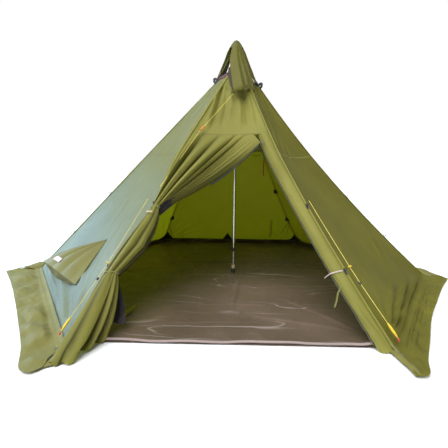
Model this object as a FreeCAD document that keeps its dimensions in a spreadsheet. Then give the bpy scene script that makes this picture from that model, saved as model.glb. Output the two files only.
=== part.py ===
"""Six-sided tent on one centre pole, pitched with its door drawn to the left.

Millimetres, +Z up, +Y towards the back wall, origin on the ground at the middle of the hem.
The walls are flat panels between three rings of corners: the hem, the middle seam and the crown.
"""
import FreeCAD, Part
import math
import os
from collections import namedtuple

import Sketcher

Vector = FreeCAD.Vector
doc = FreeCAD.newDocument("Tent")
sheet = doc.addObject("Spreadsheet::Sheet", "Sizes")

SIZES = {
    # corner rings of the walls
    "hem_radius": 2150,
    "mid_radius": 872,
    "mid_height": 1290,
    "mid_shift": -25,
    "crown_radius": 235,
    "crown_height": 2006,
    "top_shift": 36,
    "front_seam_height": 1480,
    # cloth
    "cloth": 3,
    "mesh": 1.5,
    "seam_gap": 3,
    "tape_width": 24,
    "tape_lift": 4,
    "valance_width": 260,
    "peg_slot": 15,
    # doorway
    "strip_width": 100,
    "strip_edge_gap": 18,
    "zip_top_share": 0.952,
    "zip_foot_share": 0.03,
    "zip_width": 12,
    "door_sill": 1000,
    "drape_gauge": 24,
    "roll_offset": 72,
    "roll_radius": 42,
    "tie_top_share": 0.56,
    "tie_foot_share": 0.26,
    "net_radius": 30,
    "net_depth": 92,
    # groundsheet
    "floor_radius": 2055,
    "floor_gauge": 3,
    "rim_height": 60,
    # crown and hood
    "band_height": 22,
    "band_gauge": 8,
    "mesh_foot_radius": 196,
    "mesh_top_radius": 30,
    "mesh_top_height": 2345,
    "strap_foot_radius": 207,
    "strap_top_radius": 40,
    "strap_width": 15,
    "hood_foot_radius": 232,
    "hood_foot_height": 2040,
    "hood_top_radius": 24,
    "hood_top_height": 2450,
    "flap_length": 640,
    # pole
    "tube_radius": 17,
    "tube_bore": 15.4,
    "rod_radius": 15,
    "rod_bore": 13.5,
    "spigot_length": 160,
    "pole_top": 2340,
    "upper_joint": 1640,
    "lower_joint": 900,
    "holder_foot": 290,
    "rod_top": 560,
    "foot_height": 58,
    "foot_radius": 24,
    "collar_radius": 20,
    "collar_height": 40,
    "cap_height": 100,
    # cords and fittings
    "cord_radius": 2,
    "bead_radius": 8,
    "bead_length": 18,
    "adjuster_radius": 9,
    "adjuster_length": 100,
    "hood_adjuster_length": 46,
    "fitting_bore": 2.8,
    "toggle_radius": 5,
    "toggle_length": 46,
    "ring_radius": 16,
    "ring_bore": 9,
    "ring_gauge": 4,
    "patch_width": 60,
    "patch_height": 90,
    "patch_lift": 7,
}

COS_30 = f"{math.cos(math.radians(30)):.9f}"
TAN_30 = f"{math.tan(math.radians(30)):.9f}"
CORNERS = (0, 60, 120, 180, 240, 300)
FRONT_CORNERS = (240, 300)
ARC_SHARE = 0.45

Level = namedtuple("Level", "radius height shift")
GROUND = Level("Sizes.hem_radius", "0", "0")
MIDDLE = Level("Sizes.mid_radius", "Sizes.mid_height", "Sizes.mid_shift")
CROWN = Level("Sizes.crown_radius", "Sizes.crown_height", "Sizes.top_shift")
nodes = []


def fill_sheet():
    for row, (alias, value) in enumerate(SIZES.items(), start=1):
        sheet.set(f"A{row}", alias)
        sheet.set(f"B{row}", str(value))
        sheet.setAlias(f"B{row}", alias)
    doc.recompute()


def measure(formula):
    return float(sheet.evalExpression(formula))


def between(start, end, share):
    """Formula of the value a share of the way from one formula to another."""
    return f"(({start}) + ({share}) * (({end}) - ({start})))"


def level_between(lower, upper, share):
    return Level(*(between(low, high, share) for low, high in zip(lower, upper)))


def unit(vector):
    return vector / vector.Length


def frame(origin, up, out):
    """Placement whose Y runs along up and whose Z points out, square to Y."""
    axis_y = unit(up)
    axis_z = unit(out - axis_y * out.dot(axis_y))
    axis_x = axis_y.cross(axis_z)
    columns = zip(axis_x, axis_y, axis_z, origin)
    cells = [cell for row in columns for cell in row]
    return FreeCAD.Placement(FreeCAD.Matrix(*cells, 0, 0, 0, 1))


def upright(origin, along):
    """Placement whose Z runs along a direction."""
    return FreeCAD.Placement(origin, FreeCAD.Rotation(Vector(0, 0, 1), along))


def lifted(placement, height):
    """The same placement moved out along its own Z."""
    return placement.multiply(FreeCAD.Placement(Vector(0, 0, height), FreeCAD.Rotation()))


class Side:
    """One side of the hexagon: its outward direction and the formulas of its edges."""

    def __init__(self, azimuth):
        self.cos = f"({math.cos(math.radians(azimuth)):.9f})"
        self.sin = f"({math.sin(math.radians(azimuth)):.9f})"
        self.out = Vector(measure(self.cos), measure(self.sin), 0)
        self.along = Vector(-self.out.y, self.out.x, 0)

    def distance(self, level):
        return f"(({level.radius}) * {COS_30} + ({level.shift}) * {self.cos})"

    def edge(self, level, end):
        """Place of an edge's end, -1 or 1, along the side."""
        return f"(-({level.shift}) * {self.sin} + ({end}) * ({level.radius}) / 2)"

    def slope(self, lower, upper):
        run = f"({self.distance(lower)} - {self.distance(upper)})"
        rise = f"(({upper.height}) - ({lower.height}))"
        return f"sqrt({run}^2 + {rise}^2)"

    def placement(self, lower, upper):
        foot = self.out * measure(self.distance(lower)) + Vector(0, 0, measure(lower.height))
        head = self.out * measure(self.distance(upper)) + Vector(0, 0, measure(upper.height))
        return frame(foot, head - foot, self.out)


def corner_point(angle, level):
    turn = math.radians(angle)
    radius = measure(level.radius)
    across = measure(level.shift) + radius * math.cos(turn)
    return Vector(across, radius * math.sin(turn), measure(level.height))


def origin_plane(body, role):
    return next(item for item in body.Origin.OriginFeatures if item.Role == role)


def outline_sketch(body, name, plane, outline):
    """Closed polygon whose corners are bound to formulas."""
    sketch = body.newObject("Sketcher::SketchObject", name)
    sketch.AttachmentSupport = [(origin_plane(body, plane), "")]
    sketch.MapMode = "FlatFace"
    corners = [Vector(measure(x), measure(y), 0) for x, y in outline]
    for start, end in zip(corners, corners[1:] + corners[:1]):
        sketch.addGeometry(Part.LineSegment(start, end), False)
    for index in range(len(corners)):
        following = (index + 1) % len(corners)
        sketch.addConstraint(Sketcher.Constraint("Coincident", index, 2, following, 1))
    for index, formulas in enumerate(outline):
        values = (corners[index].x, corners[index].y)
        for kind, formula, value in zip(("DistanceX", "DistanceY"), formulas, values):
            rule = Sketcher.Constraint(kind, -1, 1, index, 1, value)
            sketch.setExpression(f"Constraints[{sketch.addConstraint(rule)}]", formula)
    return sketch


def plate(name, outline, gauge, placement):
    """Flat sheet: a polygon padded outwards."""
    body = doc.addObject("PartDesign::Body", name)
    pad = body.newObject("PartDesign::Pad", name + "_pad")
    pad.Profile = outline_sketch(body, name + "_outline", "XY_Plane", outline)
    pad.setExpression("Length", gauge)
    body.Tip = pad
    body.Placement = placement
    return body


def turned(name, profile, placement=FreeCAD.Placement()):
    """Round piece: a polygon of radius and height turned about Z."""
    body = doc.addObject("PartDesign::Body", name)
    turn = body.newObject("PartDesign::Revolution", name + "_turn")
    sketch = outline_sketch(body, name + "_profile", "XZ_Plane", profile)
    turn.Profile = sketch
    turn.ReferenceAxis = (sketch, ["V_Axis"])
    turn.Angle = 360
    body.Tip = turn
    body.Placement = placement
    return body


def sleeve(name, bore, radius, foot, head, placement=FreeCAD.Placement()):
    """Plain tube between two heights."""
    profile = [(bore, foot), (radius, foot), (radius, head), (bore, head)]
    return turned(name, profile, placement)


def keep(piece, name=None):
    """Give a finished sub-part its own name and put it on the list to write."""
    piece.Label = name or piece.Name
    nodes.append(piece)
    return piece


def group(name, pieces):
    """Several separate solids of one kind as one node."""
    compound = doc.addObject("Part::Compound", name)
    compound.Links = pieces
    return keep(compound)


# ---------------------------------------------------------------- walls

def wall_outline(side, lower, upper):
    gap = "Sizes.seam_gap"
    head = f"{side.slope(lower, upper)} - {gap}"
    left, right = f"{side.edge(lower, -1)} + {gap}", f"{side.edge(lower, 1)} - {gap}"
    top_left, top_right = f"{side.edge(upper, -1)} + {gap}", f"{side.edge(upper, 1)} - {gap}"
    return [(left, "0"), (right, "0"), (top_right, head), (top_left, head)]


def wall_panel(name, side, lower, upper, gauge="Sizes.cloth"):
    outline = wall_outline(side, lower, upper)
    return plate(name, outline, gauge, side.placement(lower, upper))


def cut_vent_hole(body):
    """Rectangular hole low in a panel, under the side vent's canopy."""
    left, right, foot, head = "-100", "200", "240", "380"
    outline = [(left, foot), (right, foot), (right, head), (left, head)]
    before = body.Tip
    pocket = body.newObject("PartDesign::Pocket", body.Name + "_hole")
    pocket.Profile = outline_sketch(body, body.Name + "_hole_outline", "XY_Plane", outline)
    pocket.Type = "ThroughAll"
    pocket.Reversed = True
    body.Tip = pocket
    doc.recompute()
    assert pocket.Shape.Volume < before.Shape.Volume, "the vent hole cuts nothing"


def walls():
    for name, side in PLAIN_SIDES.items():
        lower = keep(wall_panel(f"panel_{name}_lower", side, GROUND, MIDDLE))
        keep(wall_panel(f"panel_{name}_upper", side, MIDDLE, CROWN))
        if name == "front_left":
            cut_vent_hole(lower)
    keep(wall_panel("front_top_panel", FRONT, FRONT_SEAM, CROWN))


def corner_bar(name, angle, lower, upper, width, gauge, lift):
    """Flat bar along a corner line, held a little outside it."""
    foot, head = corner_point(angle, lower), corner_point(angle, upper)
    length = f"{(head - foot).Length:.3f}"
    half = f"{width} / 2"
    gap = "Sizes.seam_gap"
    outline = [(f"-{half}", gap), (half, gap), (half, f"{length} - {gap}"),
               (f"-{half}", f"{length} - {gap}")]
    turn = math.radians(angle)
    out = Vector(math.cos(turn), math.sin(turn), 0)
    placement = lifted(frame(foot, head - foot, out), measure(lift))
    return plate(name, outline, gauge, placement)


def corner_tapes():
    bars = []
    for angle in CORNERS:
        bend = FRONT_SEAM if angle in FRONT_CORNERS else MIDDLE
        for part, lower, upper in (("lower", GROUND, bend), ("upper", bend, CROWN)):
            bars.append(corner_bar(f"tape_{part}_{angle}", angle, lower, upper,
                                   "Sizes.tape_width", "2", "Sizes.tape_lift"))
    group("corner_tapes", bars)


def guy_patches():
    """Reinforcing patches on each corner seam, at one third and two thirds of the lower wall."""
    patches = []
    reach = SIZES["patch_height"] / 2 / math.sqrt(2)
    for angle in CORNERS:
        bend = FRONT_SEAM if angle in FRONT_CORNERS else MIDDLE
        for tier in (1, 2):
            height = SIZES["mid_height"] * tier / 3
            shares = [f"{height + step:.2f} / ({bend.height})" for step in (-reach, reach)]
            lower, upper = (level_between(GROUND, bend, share) for share in shares)
            patches.append(corner_bar(f"patch_{tier}_{angle}", angle, lower, upper,
                                      "Sizes.patch_width", "2", "Sizes.patch_lift"))
    group("guy_patches", patches)


# ---------------------------------------------------------------- doorway

def seam_x(end, share):
    """Place of a front corner seam along the front side, up its slope."""
    return between(FRONT.edge(GROUND, end), FRONT.edge(FRONT_SEAM, end), share)


def front_point(x, share, lift=0.0):
    """Point on the front side: along it, a share of the way up its slope, and out from it."""
    local = Vector(measure(x), measure(share) * measure(FRONT_SLOPE), lift)
    return FRONT_PLANE.multVec(local)


def zip_x(share):
    return f"({seam_x(1, share)} - Sizes.strip_width)"


def slanted_strip(name, left_x, right_x, foot_share, head_share, gauge, lift):
    """Strip up the front side between two slanted edges given as functions of the share."""
    rows = [(foot_share, left_x), (foot_share, right_x), (head_share, right_x), (head_share, left_x)]
    outline = [(edge(share), f"{share} * {FRONT_SLOPE}") for share, edge in rows]
    return plate(name, outline, gauge, lifted(FRONT_PLANE, lift))


def doorway():
    keep(slanted_strip("door_side_strip", lambda share: f"{zip_x(share)} + 1",
                       lambda share: f"{seam_x(1, share)} - Sizes.strip_edge_gap",
                       "0", "0.995", "Sizes.cloth", 0))
    keep(slanted_strip("door_zip_tape", lambda share: f"{zip_x(share)} - Sizes.zip_width",
                       lambda share: f"{zip_x(share)} - 1",
                       "Sizes.zip_foot_share", "Sizes.zip_top_share", "Sizes.cloth", 0))
    keep(slanted_strip("net_zip_tape", lambda share: f"{zip_x(share)} + Sizes.zip_width",
                       lambda share: f"{zip_x(share)} + 2 * Sizes.zip_width",
                       "Sizes.zip_foot_share", "0.9", "2", -9))
    drape_outline = [
        (f"{seam_x(-1, '0.993')} + Sizes.strip_edge_gap", f"0.993 * {FRONT_SLOPE}"),
        (f"{seam_x(-1, 'Sizes.tie_top_share')} + Sizes.strip_edge_gap",
         f"Sizes.tie_top_share * {FRONT_SLOPE}"),
        (f"{seam_x(-1, 'Sizes.tie_top_share')} + 2 * Sizes.roll_offset",
         f"(Sizes.tie_top_share + 0.015) * {FRONT_SLOPE}"),
        ("-226", f"0.765 * {FRONT_SLOPE}"),
        (f"{zip_x('Sizes.zip_top_share')} - Sizes.zip_width - 14", f"0.945 * {FRONT_SLOPE}"),
        (f"{zip_x('0.993')} - Sizes.zip_width", f"0.993 * {FRONT_SLOPE}"),
    ]
    drape_plane = lifted(FRONT_PLANE, -SIZES["drape_gauge"] / 2)
    keep(plate("door_drape", drape_outline, "Sizes.drape_gauge", drape_plane))
    door_roll()
    door_foot()
    net_roll()


def roll_point(share, lift=-10.0):
    """Point on the axis of the rolled-up door, beside the front left seam."""
    return front_point(f"{seam_x(-1, share)} + Sizes.roll_offset", share, lift)


def rod_between(name, start, end, radius_foot, radius_head):
    """Round bar from one point to another, as a cone bound to the sheet."""
    cone = doc.addObject("Part::Cone", name)
    cone.setExpression("Radius1", radius_foot)
    cone.setExpression("Radius2", radius_head)
    cone.Height = (end - start).Length
    cone.Placement = upright(start, end - start)
    return cone


def door_roll():
    foot, head = roll_point("Sizes.tie_foot_share"), roll_point("Sizes.tie_top_share - 0.008")
    keep(rod_between("door_roll", foot, head, "Sizes.roll_radius", "Sizes.roll_radius - 4"))


def ring_of_points(centre, half_x, half_y):
    """Eight-sided closed wire, flat on its level."""
    points = []
    for step in range(8):
        turn = math.radians(45 * step)
        points.append(centre + Vector(half_x * math.cos(turn), half_y * math.sin(turn), 0))
    return Part.makePolygon(points + points[:1])


def door_foot():
    """Loose end of the door, flaring from the lower tie to the ground."""
    head = roll_point("Sizes.tie_foot_share") - Vector(0, 0, 32)
    spread = Vector(-905, -1962, 0.5)
    solid = Part.makeLoft([ring_of_points(spread, 105, 150), ring_of_points(head, 36, 40)], True, True)
    foot = doc.addObject("Part::Feature", "door_foot")
    foot.Shape = solid
    keep(foot)


def net_roll():
    """Mosquito net door, gathered behind the roll and down to the groundsheet."""
    depth = -10 - SIZES["net_depth"]
    head = roll_point("Sizes.tie_top_share - 0.03", depth)
    foot = roll_point("0.09", depth)
    keep(rod_between("net_roll", foot, head, "Sizes.net_radius + 8", "Sizes.net_radius - 6"))


def tie_loops():
    """Webbing loops round the rolled-up door."""
    along = roll_point("Sizes.tie_top_share") - roll_point("Sizes.tie_foot_share")
    loops = []
    for name, share in (("tie_loop_top", TIE_TOP), ("tie_loop_foot", TIE_FOOT)):
        loop = doc.addObject("Part::Torus", name)
        loop.setExpression("Radius1", "Sizes.roll_radius + 5")
        loop.Radius2 = 3
        loop.Placement = upright(roll_point(share), along)
        loops.append(loop)
    group("tie_loops", loops)


def door_toggle():
    """Bar that closes the upper tie loop, lying across the front of it."""
    centre = roll_point(TIE_TOP, SIZES["roll_radius"] + 12)
    half = FRONT.along * (SIZES["toggle_length"] / 2)
    keep(rod_between("door_toggle", centre - half, centre + half,
                     "Sizes.toggle_radius", "Sizes.toggle_radius"))


def slider_plate(name, share, x_formula, lift, length):
    """Zip slider with its pull tab hanging down the zip."""
    along = unit(front_point(zip_x("1"), "1") - front_point(zip_x("0"), "0"))
    origin = front_point(x_formula, share, lift)
    outline = [("-8", "-12"), ("-4", "-16"), ("-4", f"-{length}"), ("4", f"-{length}"),
               ("4", "-16"), ("8", "-12"), ("8", "10"), ("-8", "10")]
    return keep(plate(name, outline, "5", frame(origin, along, FRONT_OUT)))


def zip_sliders():
    door_x = f"{zip_x('Sizes.zip_top_share')} - Sizes.zip_width / 2"
    slider_plate("door_zip_slider", "Sizes.zip_top_share - 0.008", door_x, SIZES["cloth"] + 1.0, 52)
    net_x = f"{zip_x('0.89')} + 1.5 * Sizes.zip_width"
    slider_plate("net_zip_slider", "0.89", net_x, -15.5, 40)


# ---------------------------------------------------------------- ground

def valance_outline(half_start=None):
    """Outline of a valance strip, in the side's own axes: along it, and out from the middle."""
    inner = f"(Sizes.hem_radius * {COS_30} + 5)"
    outer = f"(Sizes.hem_radius * {COS_30} + Sizes.valance_width)"
    ends = [f"({depth} * {TAN_30} - Sizes.peg_slot)" for depth in (inner, outer)]
    starts = [f"-{end}" for end in ends] if half_start is None else [half_start, f"{half_start} + 40"]
    return [(starts[0], inner), (ends[0], inner), (ends[1], outer), (starts[1], outer)]


def flat_frame(side):
    """Ground placement with Y pointing out from a side and Z up."""
    return FreeCAD.Placement(Vector(), FreeCAD.Rotation(Vector(0, 1, 0), side.out))


def valances():
    for name, side in PLAIN_SIDES.items():
        keep(plate(f"valance_{name}", valance_outline(), "Sizes.cloth", flat_frame(side)))
    sill = "Sizes.door_sill"
    right = valance_outline(sill)
    left = [(f"-({x})", y) for x, y in reversed(right)]
    placement = flat_frame(FRONT)
    pieces = [plate("valance_door_right", right, "Sizes.cloth", placement),
              plate("valance_door_left", left, "Sizes.cloth", placement)]
    group("valance_door", pieces)


def groundsheet():
    floor = doc.addObject("Part::Prism", "groundsheet")
    floor.Polygon = 6
    floor.setExpression("Circumradius", "Sizes.floor_radius")
    floor.setExpression("Height", "Sizes.floor_gauge")
    keep(floor)
    rims = []
    for name, side in PLAIN_SIDES.items():
        far = f"(Sizes.floor_radius * {COS_30})"
        near = f"({far} - Sizes.floor_gauge)"
        half = f"({near} * {TAN_30} - 3)"
        outline = [(f"-{half}", near), (half, near), (half, far), (f"-{half}", far)]
        placement = lifted(flat_frame(side), SIZES["floor_gauge"])
        rims.append(plate(f"rim_{name}", outline, "Sizes.rim_height", placement))
    group("groundsheet_rim", rims)


def peg_rings():
    rings = []
    for angle in CORNERS:
        place = corner_point(angle, GROUND._replace(radius="Sizes.hem_radius + 36"))
        rings.append(sleeve(f"peg_ring_{angle}", "Sizes.ring_bore", "Sizes.ring_radius", "4",
                            "4 + Sizes.ring_gauge", FreeCAD.Placement(place, FreeCAD.Rotation())))
    group("peg_rings", rings)


# ---------------------------------------------------------------- crown and hood

def crown_band():
    """Stiff hexagonal band round the top opening."""
    prisms = []
    for name, radius in (("band_outer", "Sizes.crown_radius"),
                         ("band_inner", "Sizes.crown_radius - Sizes.band_gauge")):
        prism = doc.addObject("Part::Prism", name)
        prism.Polygon = 6
        prism.setExpression("Circumradius", radius)
        prism.setExpression("Height", "Sizes.band_height")
        prisms.append(prism)
    band = doc.addObject("Part::Cut", "crown_band")
    band.Base, band.Tool = prisms
    band.Placement.Base = Vector(SIZES["top_shift"], 0, SIZES["crown_height"] + 4)
    keep(band)


def crown_cone():
    """Vent mesh from the crown band to the pole cap, and six webbing straps outside it."""
    foot = Level("Sizes.mesh_foot_radius", "Sizes.crown_height + Sizes.band_height + 8",
                 "Sizes.top_shift")
    head = Level("Sizes.mesh_top_radius", "Sizes.mesh_top_height", "Sizes.top_shift")
    gores = []
    for angle in CORNERS:
        gores.append(wall_panel(f"mesh_{angle}", Side(angle + 30), foot, head, "Sizes.mesh"))
    group("crown_mesh", gores)
    straps = []
    for angle in CORNERS:
        straps.append(corner_bar(f"strap_{angle}", angle,
                                 foot._replace(radius="Sizes.strap_foot_radius"),
                                 head._replace(radius="Sizes.strap_top_radius"),
                                 "Sizes.strap_width", "2", "0"))
    group("crown_straps", straps)


def hood():
    """Hood over the mesh: four fixed gores, an open gore to the front left, and a front flap."""
    foot = Level("Sizes.hood_foot_radius", "Sizes.hood_foot_height", "Sizes.top_shift")
    head = Level("Sizes.hood_top_radius", "Sizes.hood_top_height", "Sizes.top_shift")
    gores = []
    for name in ("front_right", "back_right", "back", "back_left"):
        gores.append(wall_panel(f"hood_{name}", PLAIN_SIDES[name], foot, head))
    group("hood_shell", gores)
    length = "Sizes.flap_length"
    outline = [("-16", "0"), ("-66", f"-0.42 * {length}"), ("-24", f"-{length}"), ("60", f"-0.97 * {length}"),
               ("136", f"-0.88 * {length}"), ("102", f"-0.42 * {length}"), ("16", "0")]
    keep(plate("hood_flap", outline, "Sizes.cloth", frame(FLAP_TOP, FLAP_TOP - FLAP_FOOT, FRONT_OUT)))


# ---------------------------------------------------------------- pole

def pole():
    axis = FreeCAD.Placement(Vector(SIZES["top_shift"], 0, 0), FreeCAD.Rotation())
    bore, wall = "Sizes.tube_bore", "Sizes.tube_radius"
    keep(sleeve("pole_top_tube", bore, wall, "Sizes.upper_joint", "Sizes.pole_top", axis))
    keep(sleeve("pole_middle_tube", bore, wall, "Sizes.lower_joint", "Sizes.upper_joint - 1", axis))
    keep(sleeve("pole_holder_tube", bore, wall, "Sizes.holder_foot", "Sizes.lower_joint - 1", axis))
    spigots = []
    for joint in ("upper_joint", "lower_joint"):
        half = "Sizes.spigot_length / 2"
        spigots.append(sleeve(f"spigot_{joint}", "Sizes.tube_bore - 1.8", "Sizes.tube_bore - 0.2",
                              f"Sizes.{joint} - {half}", f"Sizes.{joint} + {half}", axis))
    group("pole_spigots", spigots)
    clamp = [("Sizes.rod_radius + 0.3", "Sizes.holder_foot - 34"),
             ("Sizes.tube_radius + 3", "Sizes.holder_foot - 34"),
             ("Sizes.tube_radius + 5", "Sizes.holder_foot - 24"),
             ("Sizes.tube_radius + 5", "Sizes.holder_foot - 6"),
             ("Sizes.tube_radius + 3", "Sizes.holder_foot - 0.2"),
             ("Sizes.rod_radius + 0.3", "Sizes.holder_foot - 0.2")]
    keep(turned("pole_clamp", clamp, axis))
    head = "Sizes.pole_top + Sizes.cap_height"
    cap = [("0", "Sizes.pole_top + 0.2"), ("Sizes.tube_radius + 2", "Sizes.pole_top + 0.2"),
           ("Sizes.tube_radius + 2", f"{head} - 14"), ("Sizes.tube_radius - 6", head), ("0", head)]
    keep(turned("pole_cap", cap, axis))
    foot_head = "Sizes.foot_height"
    foot = [("0", "Sizes.floor_gauge + 0.5"), ("Sizes.foot_radius", "Sizes.floor_gauge + 0.5"),
            ("Sizes.foot_radius", "14"), ("Sizes.collar_radius", foot_head),
            ("Sizes.rod_radius + 0.2", foot_head), ("Sizes.rod_radius + 0.2", "12"), ("0", "12")]
    keep(turned("pole_foot", foot, axis))
    keep(sleeve("pole_collar", "Sizes.rod_radius + 0.2", "Sizes.collar_radius",
                f"{foot_head} + 0.2", f"{foot_head} + Sizes.collar_height", axis))
    keep(sleeve("pole_extension_tube", "Sizes.rod_bore", "Sizes.rod_radius", "12.2",
                "Sizes.rod_top", axis))


# ---------------------------------------------------------------- cords

def route_wire(name, route, bend=ARC_SHARE):
    """Straight runs joined by tangent arcs, each taking that share of the shorter run."""
    edges, radii, start = [], [], route[0]
    for before, corner, after in zip(route, route[1:], route[2:]):
        back, ahead = unit(before - corner), unit(after - corner)
        half_turn = (math.pi - back.getAngle(ahead)) / 2
        trim = bend * min((before - corner).Length, (after - corner).Length)
        radius = trim / math.tan(half_turn)
        middle = corner + unit(back + ahead) * (radius / math.cos(half_turn) - radius)
        edges.append(Part.LineSegment(start, corner + back * trim).toShape())
        edges.append(Part.Arc(corner + back * trim, middle, corner + ahead * trim).toShape())
        radii.append(round(radius))
        start = corner + ahead * trim
    edges.append(Part.LineSegment(start, route[-1]).toShape())
    wire = Part.Wire(edges)
    print(f"{name}: length {wire.Length:.0f}, arc radii {radii}")
    return wire


def tube(name, route, radius, bend=ARC_SHARE):
    """Round cord or rod along a route."""
    wire = route_wire(name, route, bend)
    ring = Part.Wire(Part.makeCircle(radius, route[0], route[1] - route[0]))
    solid = wire.makePipeShell([ring], True, False)
    expected = math.pi * radius ** 2 * wire.Length
    assert abs(solid.Volume / expected - 1) < 0.02, name
    piece = doc.addObject("Part::Feature", name)
    piece.Shape = solid
    return keep(piece)


def seam_route_point(side_sign, share, lift, sideways=0.0):
    """Point outside a front corner seam of the lower wall, moved away from the doorway."""
    angle = 270 + 30 * side_sign
    place = corner_point(angle, level_between(GROUND, MIDDLE, f"{share}"))
    turn = math.radians(angle)
    out = unit(Vector(math.cos(turn), math.sin(turn), 1))
    away = Vector(-math.sin(turn), math.cos(turn), 0) * side_sign
    return place + out * lift + away * sideways


def guy_cords():
    beads = []
    for name, sign in (("left", -1), ("right", 1)):
        route = [seam_route_point(sign, 0.69, 24), seam_route_point(sign, 0.345, 26, 4),
                 seam_route_point(sign, 0.175, 30, 26), seam_route_point(sign, 0.045, 18, 64)]
        tube(f"guy_cord_{name}", route, SIZES["cord_radius"])
        last_run = route[3] - route[2]
        mid_run = route[2] - route[1]
        half = SIZES["bead_length"] / 2
        beads.append(sleeve(f"bead_{name}", "Sizes.fitting_bore", "Sizes.bead_radius", f"-{half}",
                            f"{half}", upright(route[1] + mid_run * 0.42, mid_run)))
        long_half = SIZES["adjuster_length"] / 2
        barrel = [("Sizes.fitting_bore", f"-{long_half}"), ("Sizes.adjuster_radius - 4", f"-{long_half}"),
                  ("Sizes.adjuster_radius", "-20"), ("Sizes.adjuster_radius", "20"),
                  ("Sizes.adjuster_radius - 4", f"{long_half}"), ("Sizes.fitting_bore", f"{long_half}")]
        keep(turned(f"guy_adjuster_{name}", barrel, upright(route[2] + last_run * 0.74, last_run)))
    group("guy_beads", beads)


def hood_cord():
    """Cord from the flap's lower corner over the front to the upper tie."""
    start = FLAP_CORNER
    middle = front_point(f"{seam_x(-1, '0.99')} + 78", "0.99", 22)
    end = front_point(f"{seam_x(-1, '0.66')} + 30", "0.66", 34)
    tube("hood_cord", [start, middle, end], SIZES["cord_radius"], bend=0.045)
    run = middle - start
    half = SIZES["hood_adjuster_length"] / 2
    keep(sleeve("hood_adjuster", "Sizes.fitting_bore", "Sizes.adjuster_radius", f"-{half}", f"{half}",
                upright(start + run * 0.91, run)))


def pull():
    """Red strap that hangs on a short cord inside the back wall."""
    head = Vector(400, 678, 1352)
    knot = head - Vector(0, 0, 82)
    tube("pull_cord", [head, knot], 1.5)
    strap = doc.addObject("Part::Box", "pull_strap")
    strap.Length, strap.Width, strap.Height = 14, 3, 200
    strap.Placement.Base = knot - Vector(7, 1.5, 200.2)
    keep(strap)


# ---------------------------------------------------------------- low side vent

def vent_point(along, up, lift):
    return VENT_PLANE.multVec(Vector(along, up, lift))


def sheet_from(points, gauge):
    """Thin solid on a flat polygon, thickened along its normal."""
    face = Part.Face(Part.makePolygon(points + points[:1]))
    return face.extrude(face.normalAt(0, 0) * gauge)


def side_vent():
    """Scoop over the low vent: three thin gores with the mouth to the left, and its bowed stay."""
    top, right = vent_point(309, 703, 8), vent_point(460, 287, 8)
    tip = vent_point(-380, 210, 115)
    mouth_top, mouth_foot = vent_point(-430, 262, 8), vent_point(-266, 145, 8)
    gores = [sheet_from(points, -2) for points in (
        [top, mouth_top, tip], [top, tip, right], [right, tip, mouth_foot])]
    canopy = doc.addObject("Part::Feature", "side_vent_canopy")
    canopy.Shape = Part.makeCompound(gores)
    keep(canopy)
    mesh = [("-112", "228"), ("212", "228"), ("212", "392"), ("-112", "392")]
    keep(plate("side_vent_mesh", mesh, "Sizes.mesh", lifted(VENT_PLANE, -2)))
    stay = [vent_point(-395, 262, 14), vent_point(-352, 222, 84), vent_point(-262, 163, 14)]
    tube("side_vent_stay", stay, 3)


# ---------------------------------------------------------------- build

fill_sheet()
FRONT = Side(270)
PLAIN_SIDES = {"front_right": Side(330), "back_right": Side(30), "back": Side(90),
               "back_left": Side(150), "front_left": Side(210)}
FRONT_SEAM = level_between(MIDDLE, CROWN, "(Sizes.front_seam_height - Sizes.mid_height)"
                           " / (Sizes.crown_height - Sizes.mid_height)")
FRONT_SLOPE = FRONT.slope(GROUND, FRONT_SEAM)
FRONT_PLANE = FRONT.placement(GROUND, FRONT_SEAM)
FRONT_OUT = FRONT_PLANE.Rotation.multVec(Vector(0, 0, 1))
VENT_PLANE = PLAIN_SIDES["front_left"].placement(GROUND, MIDDLE)
TIE_TOP, TIE_FOOT = "Sizes.tie_top_share - 0.03", "Sizes.tie_foot_share + 0.02"
FLAP_TOP = Vector(SIZES["top_shift"], -48, SIZES["hood_top_height"] - 14)
FLAP_FOOT = Vector(SIZES["top_shift"], -356, 1880)
FLAP_CORNER = FLAP_FOOT + Vector(-20, -6, -12)

walls()
corner_tapes()
guy_patches()
doorway()
tie_loops()
door_toggle()
zip_sliders()
valances()
groundsheet()
peg_rings()
crown_band()
crown_cone()
hood()
pole()
guy_cords()
hood_cord()
pull()
side_vent()
doc.recompute()

for item in doc.Objects:
    assert "Invalid" not in item.State and "Error" not in item.State, item.Label
for node in nodes:
    assert not node.Shape.isNull() and node.Shape.isValid(), node.Label

os.makedirs("parts", exist_ok=True)
for node in nodes:
    node.Shape.exportStep(f"parts/{node.Label}.step")
print(f"{len(nodes)} sub-parts written")
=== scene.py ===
"""Six-sided tent on one centre pole: the looks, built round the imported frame. Metres, +Z up, +Y to the back."""
import math

import bpy
import numpy as np
from mathutils import Matrix, Vector, noise


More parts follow.
